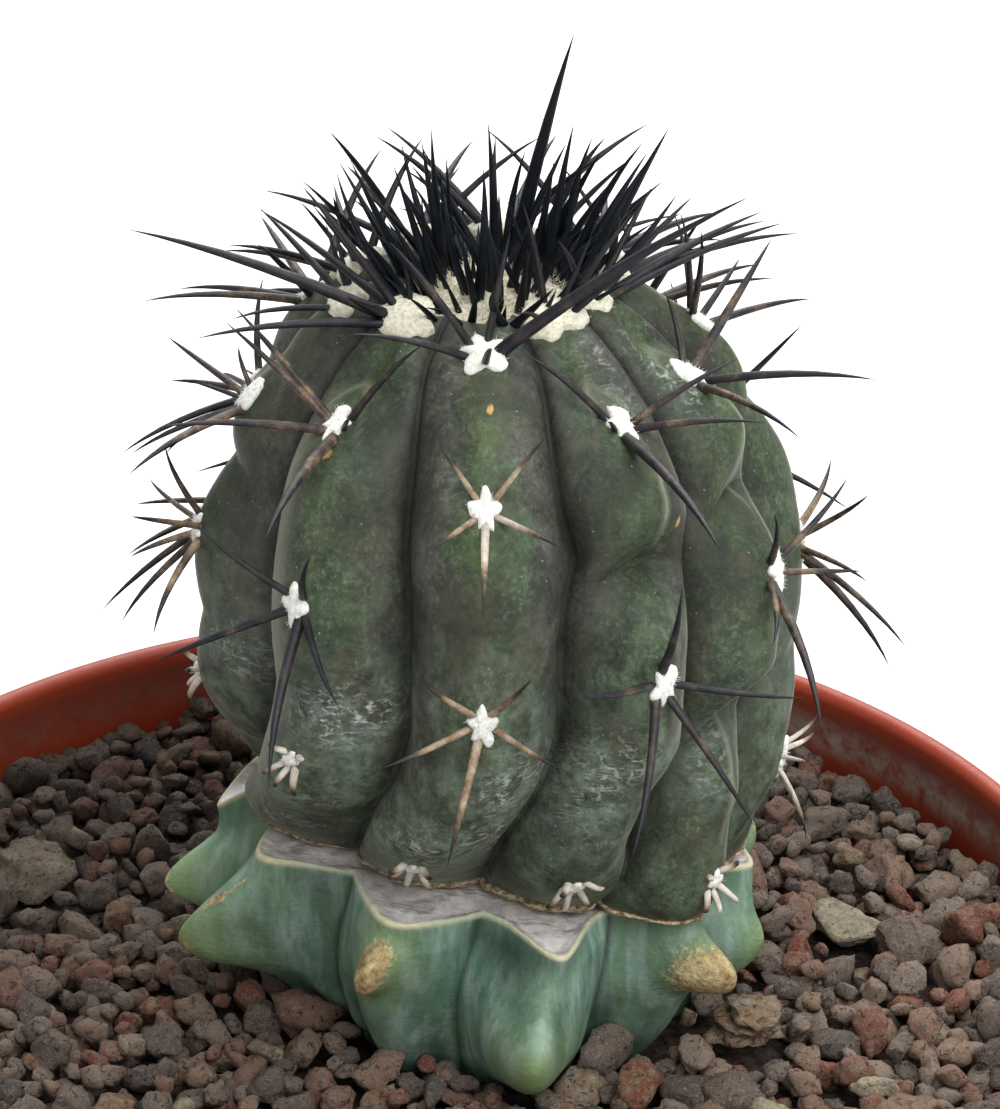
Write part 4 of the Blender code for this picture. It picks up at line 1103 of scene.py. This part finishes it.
def notch_dip(rib, step, height):
    """How deep the notches between a rib's tubercles are at a height, steeper above than below."""
    bent = height + NOTCH_BEND * np.abs(step) ** 1.5
    dip = np.zeros(np.broadcast(rib, step, height).shape)
    for k in range(NOTCHES.shape[1]):
        middle, depth = NOTCHES[rib % RIBS, k].T
        away = bent - middle
        near = np.clip(1 - np.abs(away) / np.where(away > 0, NOTCH_ABOVE, NOTCH_BELOW), 0, 1)
        dip += depth * near**1.6
    return dip


def foot_factor(angle, height):
    """The outline of the scion's foot, flat in front and wide at both ends, as a share of a circle's."""
    turns = (np.degrees(angle) + 180) % 360 - 180
    factor = sum(share * bell(turns - middle, wide) for middle, wide, share in FOOT_SHAPE)
    return 1 + factor * bell(height, 8)


def skin_point(rib, step, height, radius=None):
    """Points of the stem's skin, step going from -1 to 1 between the furrows on both sides of a rib."""
    rib, step, height = np.broadcast_arrays(rib, step, np.asarray(height, float))
    crest = stem_radius(height) if radius is None else np.broadcast_to(radius, height.shape)
    here = rib_azimuth(rib, height)
    half = np.where(step > 0, rib_azimuth(rib + 1, height) - here, here - rib_azimuth(rib - 1, height)) / 2
    neighbour = rib + np.where(step > 0, 1, -1)
    half = half + NOTCH_PUSH * (notch_dip(neighbour, 0 * step, height) - notch_dip(rib, 0 * step, height))
    angle = np.radians(here + step * half)
    side = np.abs(step)
    flat = math.sqrt(CREST_ROUND)
    ridge = (np.sqrt(side**2 + CREST_ROUND) - flat) / (math.sqrt(1 + CREST_ROUND) - flat)
    shallow = np.clip(0.25 + height / 14, 0, 1)
    depth = FURROW_DEPTH * shallow * (0.85 * ridge**1.15 + 0.15 * side**8) + CLEFT_DEPTH * side**18
    notch = notch_dip(rib, step, height) * bell(side, 0.85)
    swell = (CREST_LIFT - notch) * (1 - side**2) ** 0.9 * np.clip(crest / 25, 0, 1)
    share = np.clip((height - STEM_MIDDLE) / STEM_RISE, 0, 1)
    outward = (crest / STEM_RADIUS) ** (STEM_POWER - 1) / STEM_RADIUS
    upward = share ** (STEM_POWER - 1) / STEM_RISE
    steep = np.hypot(outward, upward)
    reach = crest * (1 - depth) * foot_factor(angle, height) + swell * outward / steep
    x, y = stem_centre(height)
    x = x + reach * np.sin(angle)
    y = y - reach * np.cos(angle)
    fade = np.clip(1 - height / 20, 0, None)
    return np.stack((x, y, height + fade * cut_height(x) + swell * upward / steep), -1)


def painted_highlights(rib, step, level):
    """Painted highlights along the edges of the crests and the brows of the tubercles."""
    edge = 0
    for k, at_step, across, low, high, strength in RIDGE_HIGHLIGHTS:
        inside = np.clip((level - low) / 4, 0, 1) * np.clip((high - level) / 4, 0, 1)
        edge = edge + (rib == k) * strength * inside * bell(step - at_step, across)
    for k, at_step, half, height, sag, strength in BROW_HIGHLIGHTS:
        across = (step - at_step) / half
        line = bell(level - height + sag * across**2, 0.45)
        edge = edge + (rib == k) * strength * line * np.exp(-(across**4))
    return np.clip(edge, 0, 1)


def skin_marks(rib, step, level):
    """What the skin's material needs to know at every point. Each is an array like level."""
    one = np.ones_like(level)
    side = np.abs(step) * one
    places = [(k, height - 4.5) for k, heights in enumerate(AREOLES) for height in heights]
    tubercles = [(k, 0, height, 0.22, 4.5, 1) for k, height in places]
    left, right = np.array(MAUVE)[rib].T
    # Painted shade: deeper in the notches, plus each rib's own share
    fold = notch_dip(rib, step, level) / 6 + np.array(SHADED)[rib]
    low_front = np.clip((42 - level) / 22, 0, 1)
    return {
        "side": side,
        "leafy": np.clip(soft_spots(tubercles, rib, step, level), 0, 1) * 0.8,
        "scar": np.clip(soft_spots(SCARS, rib, step, level), 0, 1),
        "bloom": (0.15 + 0.85 * low_front) * np.where((rib == 4) | (rib == 5), 0.45, 1),
        "mauve": np.where(step > 0, right, left) * np.clip(0.2 + level / 52, 0, 1),
        "wound": np.clip(soft_spots(WOUNDS, rib, step, level), 0, 1),
        "edge": painted_highlights(rib, step, level),
        "fold": np.clip(fold * bell(side, 0.9), 0, 1),
        "cork": np.clip(1 - (level - 0.3) / 1.2, 0, 1),
    }


def build_scion_skin():
    rib, step = around(RIBS, 42)
    levels = [*np.linspace(0.35, 3, 6), *np.linspace(3.5, TOP_FROM, 126)]
    rows = [skin_point(rib, step, height) for height in levels]
    for radius in np.linspace(float(stem_radius(TOP_FROM)) - 0.5, TOP_RADIUS, 18):
        levels.append(float(stem_height(radius)))
        rows.append(skin_point(rib, step, levels[-1], radius))
    middle = np.array((*stem_centre(DISH_FLOOR), 0))
    rim = rows[-1]
    for share, drop in ((0.9, 0.4), (0.8, 1.8), (0.76, 4.5)):
        levels.append(levels[-1])
        rows.append(middle + (rim - middle) * (share, share, 1) - (0, 0, drop))
    grid = np.array(rows)
    grid[:, :, :2] *= 1 + (0.006 * rough(grid, 0.12, 1) + 0.0018 * rough(grid, 0.5, 2))[..., None]
    marks = skin_marks(rib, step, np.array(levels)[:, None] * np.ones(len(rib)))
    points, faces = capped(grid)
    attributes = {key: np.append(value.ravel(), (0, 0)) for key, value in marks.items()}
    add_piece("scion_skin", points + PLANT, faces, skin_material(), ["scion"], attributes)


def build_seam():
    """An irregular corky bead along the scion's foot."""
    rib, step = around(RIBS, 48)
    line = skin_point(rib, step, 0.9)
    out = (line - line.mean(0)) * (1, 1, 0)
    out /= np.linalg.norm(out, axis=1)[:, None]
    turn = np.degrees(np.arctan2(out[:, 0], -out[:, 1]))
    thick = 0.2 + 0.26 * rough(line, 0.35, 12) + 0.14 * rough(line, 1.3, 15) + 0.45 * bell(turn, 24)
    thick = np.maximum(thick, 0.08)
    sway = 0.45 * rough(line, 0.3, 13) + 0.2 * rough(line, 1, 16)
    rings = []
    for across, up, _ in ring(1, 0, SEAM_SIDES):
        shift = (1.3 * thick * across + 0.1)[:, None] * out
        shift[:, 2] += 0.7 * thick * up + sway
        rings.append(line + shift)
    points = np.concatenate(rings)
    faces = [[index % len(points) for index in face] for face in ring_faces(SEAM_SIDES + 1, len(rib))]
    add_piece("graft_seam", points + PLANT, faces, seam_material(), ["scion"])


# Spines and wool


def areole_frame(rib, height):
    """Place on the crest, and the directions out of the skin, up the rib and to the right."""
    spot = skin_point(rib, 0, height)
    up = unit(skin_point(rib, 0, height + 0.8) - skin_point(rib, 0, height - 0.8))
    angle = math.radians(float(rib_azimuth(rib, height)))
    right = np.array((math.cos(angle), math.sin(angle), 0))
    out = unit(np.cross(right, up))
    return spot, out, up, right


def spine_path(frame_here, clock, length, rise):
    """Root, elbow and tip of a spine that leaves the skin at its pad's edge and curves back a little."""
    spot, out, up, right = frame_here
    clock, rise = math.radians(clock), math.radians(rise)
    along = math.cos(clock) * up + math.sin(clock) * right
    way = math.cos(rise) * along + math.sin(rise) * out
    base = spot + 1 * along
    root = base - 1.6 * unit(way + out)
    elbow = base + 0.5 * length * way + 0.035 * length * out
    return root, elbow, base + length * way


def add_spine(batch, path, radius, tone, worn=False):
    """An awl-shaped needle along the curve through root, elbow and tip."""
    root, elbow, tip = path
    control = 2 * elbow - 0.5 * (root + tip)
    shares = np.array((0, 0.06, 0.14, 0.24, 0.36, 0.5, 0.64, 0.77, 0.88, 0.96, 1))
    line = np.array([(1 - t) ** 2 * root + 2 * t * (1 - t) * control + t * t * tip for t in shares])
    side = unit(np.cross(unit(tip - root), (0.31, 0.22, 0.93)))
    over = np.cross(unit(tip - root), side)
    if worn:
        wide = 1.5 * radius * np.interp(shares, (0, 0.5, 0.9, 1), (1.2, 0.9, 0.7, 0.3))
    else:
        wide = radius * np.interp(shares, (0, 0.1, 0.3, 0.6, 0.85, 1), (1.2, 1.1, 1, 0.74, 0.34, 0.03))
    flat = ring(1, 0, SPINE_SIDES)
    circle = flat[:, :1] * side + 0.85 * flat[:, 1:2] * over
    points, faces = capped(line[:, None, :] + wide[:, None, None] * circle)
    along = np.append(np.repeat(shares, SPINE_SIDES), (0, 1))
    batch.add(points + PLANT, triangles_of(faces), along=along, tone=tone)


def side_patterns():
    """The spines of every areole outside the tuft, as (rib, height, pattern, tone, worn)."""
    draw = random.Random(PATTERN_SEED)
    found = []
    for rib, heights in enumerate(AREOLES):
        for height in heights:
            tone = SPINE_TONES.get((rib, height), TOP_TONE if height > TOP_FROM else SIDE_TONE)
            worn = False
            if (rib, height) in FRONT_SPINES:
                pattern = FRONT_SPINES[rib, height]
            elif height < STUB_BELOW:
                pattern, tone, worn = STUBS, STUB_TONE, True
            else:
                pattern = []
                for clock in BACK_CLOCKS:
                    length = draw.uniform(13, 20)
                    pattern.append((clock + draw.uniform(-14, 14), length, draw.uniform(24, 40)))
            found.append((rib, height, pattern, tone, worn))
    return found


def build_side_spines():
    draw = np.random.default_rng(SPINE_SEED)
    batch = Batch("along", "tone")
    for rib, height, pattern, tone, worn in side_patterns():
        for clock, length, rise in pattern:
            shade = float(np.clip(tone + draw.uniform(-0.08, 0.08), 0, 1))
            path = spine_path(areole_frame(rib, height), clock, length, rise)
            add_spine(batch, path, 0.24 + 0.017 * length, shade, worn)
    batch.piece("side_spines", spine_material("spine_horn", 0.4, SIDE_BLACKS), ["scion"])


def add_hair(batch, root, tip, width):
    """One woolly hair, a thin three-sided needle."""
    way = unit(tip - root)
    side = unit(np.cross(way, (0.4, 0.3, 0.86)))
    over = np.cross(way, side)
    corners = [root + width * (math.cos(a) * side + math.sin(a) * over) for a in (0, 2.094, 4.189)]
    batch.add(np.array(corners + [tip]) + PLANT, [[0, 2, 1], [0, 1, 3], [1, 2, 3], [2, 0, 3]])


def add_pad(batch, draw, frame_here, size, clocks):
    """A hairy felt pad, star-shaped because it draws in where the spines stand."""
    spot, out, up, right = frame_here
    wide, tall, thick = size
    angles = np.arange(PAD_SIDES) * 2 * math.pi / PAD_SIDES
    gaps = np.abs((np.degrees(angles)[:, None] - np.array(clocks) + 180) % 360 - 180)
    edge = 0.62 + 0.5 * np.clip(gaps.min(1) / 34, 0, 1) ** 1.2
    ripple = [noise.noise(Vector((3 * math.sin(a), 3 * math.cos(a), spot[2]))) for a in angles]
    edge *= 1 + 0.12 * np.array(ripple)
    outward = np.sin(angles)[:, None] * right, np.cos(angles)[:, None] * up
    shape = edge[:, None] * (wide * outward[0] + tall * outward[1])
    grid = np.array([spot + share * shape + lift * thick * out for share, lift in PAD_RINGS])
    grid[1:] += (0.07 * rough(grid[1:], 1.6, 31))[..., None] * out
    points, faces = capped(grid)
    batch.add(points + PLANT, triangles_of(faces))
    for _ in range(int(26 * wide * tall)):
        k = draw.integers(PAD_SIDES)
        share = math.sqrt(draw.uniform(0.05, 1))
        base = spot + share * shape[k] + thick * (1 - share**2) * 0.8 * out
        lean = 0.8 * share * (outward[0][k] + outward[1][k])
        way = unit(lean + draw.uniform(0.3, 1) * out + 0.5 * draw.normal(size=3))
        add_hair(batch, base, base + draw.uniform(0.35, 0.8) * way, HAIR_WIDTH)


def build_pads():
    draw = np.random.default_rng(PAD_SEED)
    felt = Batch()
    wool = Batch()
    for rib, height, pattern, _, worn in side_patterns():
        clocks = [clock for clock, _, _ in pattern]
        spot = areole_frame(rib, height)
        if (rib, height) == FRONT_TOP:
            add_pad(felt, draw, spot, FRONT_TOP_PAD, clocks)
        elif height > TOP_FROM:
            add_pad(wool, draw, spot, WOOL_PADS.get(rib, WOOL_PAD), [clocks[0] + 180])
        else:
            add_pad(felt, draw, spot, STUB_PAD if worn else SIDE_PAD, clocks)
    felt.piece("areole_felt", felt_material("areole_felt", (255, 255, 251), (214, 215, 208)), ["scion"])
    wool.piece("crown_pads", felt_material("pad_wool", (244, 240, 222), (196, 190, 164)), ["scion"])


# Crown


def crown_places():
    """Root and tip of every tuft spine: those seen in front, then a spiral of others among them."""
    draw = np.random.default_rng(CROWN_SEED)
    places = list(CROWN_FRONT)
    for k in range(CROWN_FILL):
        away = TUFT_RADIUS * math.sqrt((k + 0.5) / CROWN_FILL)
        turn = k * math.pi * (3 - math.sqrt(5))
        tilt = math.radians(4 + 4.8 * away + draw.uniform(-14, 14))
        length = draw.uniform(12, 20) if k % 2 else draw.uniform(7, 12)
        heading = turn + draw.uniform(-0.7, 0.7)
        root_x, root_y = away * math.sin(turn), -away * math.cos(turn)
        tip_x = root_x + length * math.sin(tilt) * math.sin(heading)
        tip_y = root_y - length * math.sin(tilt) * math.cos(heading)
        places.append((root_x, root_y, tip_x, tip_y, length * math.cos(tilt)))
    return places


def build_crown():
    draw = np.random.default_rng(TUFT_SEED)
    middle = np.array((*stem_centre(DISH_FLOOR), DISH_FLOOR + 0.3))
    spines = Batch("along", "tone")
    for root_x, root_y, *tip in crown_places():
        root = middle + (root_x, root_y, 0.8)
        tip = middle + tip
        across = math.hypot(*(tip - root)[:2])
        length = float(np.linalg.norm(tip - root))
        sway = 0.03 if length < LONG_SPINE else 0.008
        elbow = 0.5 * (root + tip) + (0, 0, 0.06 * across) + sway * length * draw.normal(size=3)
        add_spine(spines, (root, elbow, tip), 0.3 + 0.018 * length, float(draw.uniform(0, 0.1)))
    spines.piece("crown_spines", spine_material("crown_horn", 0.25, CROWN_BLACKS), ["crown"])

    grid = np.array([middle + ring(WOOL_RADIUS * share, lift, WOOL_SIDES) for share, lift in WOOL_RINGS])
    grid[1:, :, 2] += 0.7 * rough(grid[1:], 0.35, 8) + 0.2 * rough(grid[1:], 1.2, 9)
    points, faces = capped(grid)
    wool = Batch()
    wool.add(points + PLANT, triangles_of(faces))
    for _ in range(WOOL_HAIRS):
        away, turn = WOOL_RADIUS * math.sqrt(draw.uniform()), draw.uniform(0, 2 * math.pi)
        lift = 4.2 - 1.6 * (away / WOOL_RADIUS) ** 4
        base = middle + (away * math.cos(turn), away * math.sin(turn), lift)
        way = unit(np.array((0.4 * math.cos(turn), 0.4 * math.sin(turn), 0.8)) + 0.5 * draw.normal(size=3))
        add_hair(wool, base, base + draw.uniform(0.5, 1.3) * way, 0.05)
    wool.piece("crown_wool", felt_material("crown_wool", (242, 236, 214), (184, 176, 148)), ["crown"])


# Surroundings


def build_stage():
    mesh = bpy.data.meshes.new("floor")
    far = FLOOR_HALF
    mesh.from_pydata([(-far, -far, 0), (far, -far, 0), (far, far, 0), (-far, far, 0)], [], [(0, 1, 2, 3)])
    paint = Paint("floor", Roughness=0.9)
    paint.base(paint.clouds(400, 2), (247, 247, 247), (249.3, 249.3, 249.3))
    mesh.materials.append(paint.finished())
    floor = linked("floor", mesh)
    floor.location.z = -0.5 * MM


def add_area_light(name, spot, size, power):
    light = bpy.data.lights.new(name, "AREA")
    light.size = size
    light.energy = power
    lamp = linked(name, light)
    lamp.location = spot
    lamp.rotation_euler = (Vector(LIGHT_TARGET) - lamp.location).to_track_quat("-Z", "Y").to_euler()


def build_light():
    world = bpy.data.worlds.new("studio")
    world.use_nodes = True
    background = world.node_tree.nodes["Background"]
    background.inputs["Color"].default_value = (1, 1, 1, 1)
    background.inputs["Strength"].default_value = WORLD_STRENGTH
    bpy.context.scene.world = world
    for light in LIGHTS:
        add_area_light(*light)
    bpy.context.scene.view_settings.view_transform = "Standard"


def build_camera():
    data = bpy.data.cameras.new("camera")
    data.sensor_fit = "VERTICAL"
    data.sensor_height = SENSOR
    data.lens = LENS
    camera = linked("camera", data)
    rise = math.radians(VIEW_ELEVATION)
    target = Vector(VIEW_TARGET) * MM
    away = Vector((0, -math.cos(rise), math.sin(rise))) * VIEW_DISTANCE * MM
    camera.location = target + away
    camera.rotation_euler = (-away).to_track_quat("-Z", "Y").to_euler()
    bpy.context.scene.camera = camera


build_camera()
build_stage()
build_light()
build_pot()
build_gravel()
build_rootstock()
build_scion_skin()
build_seam()
build_side_spines()
build_pads()
build_crown()
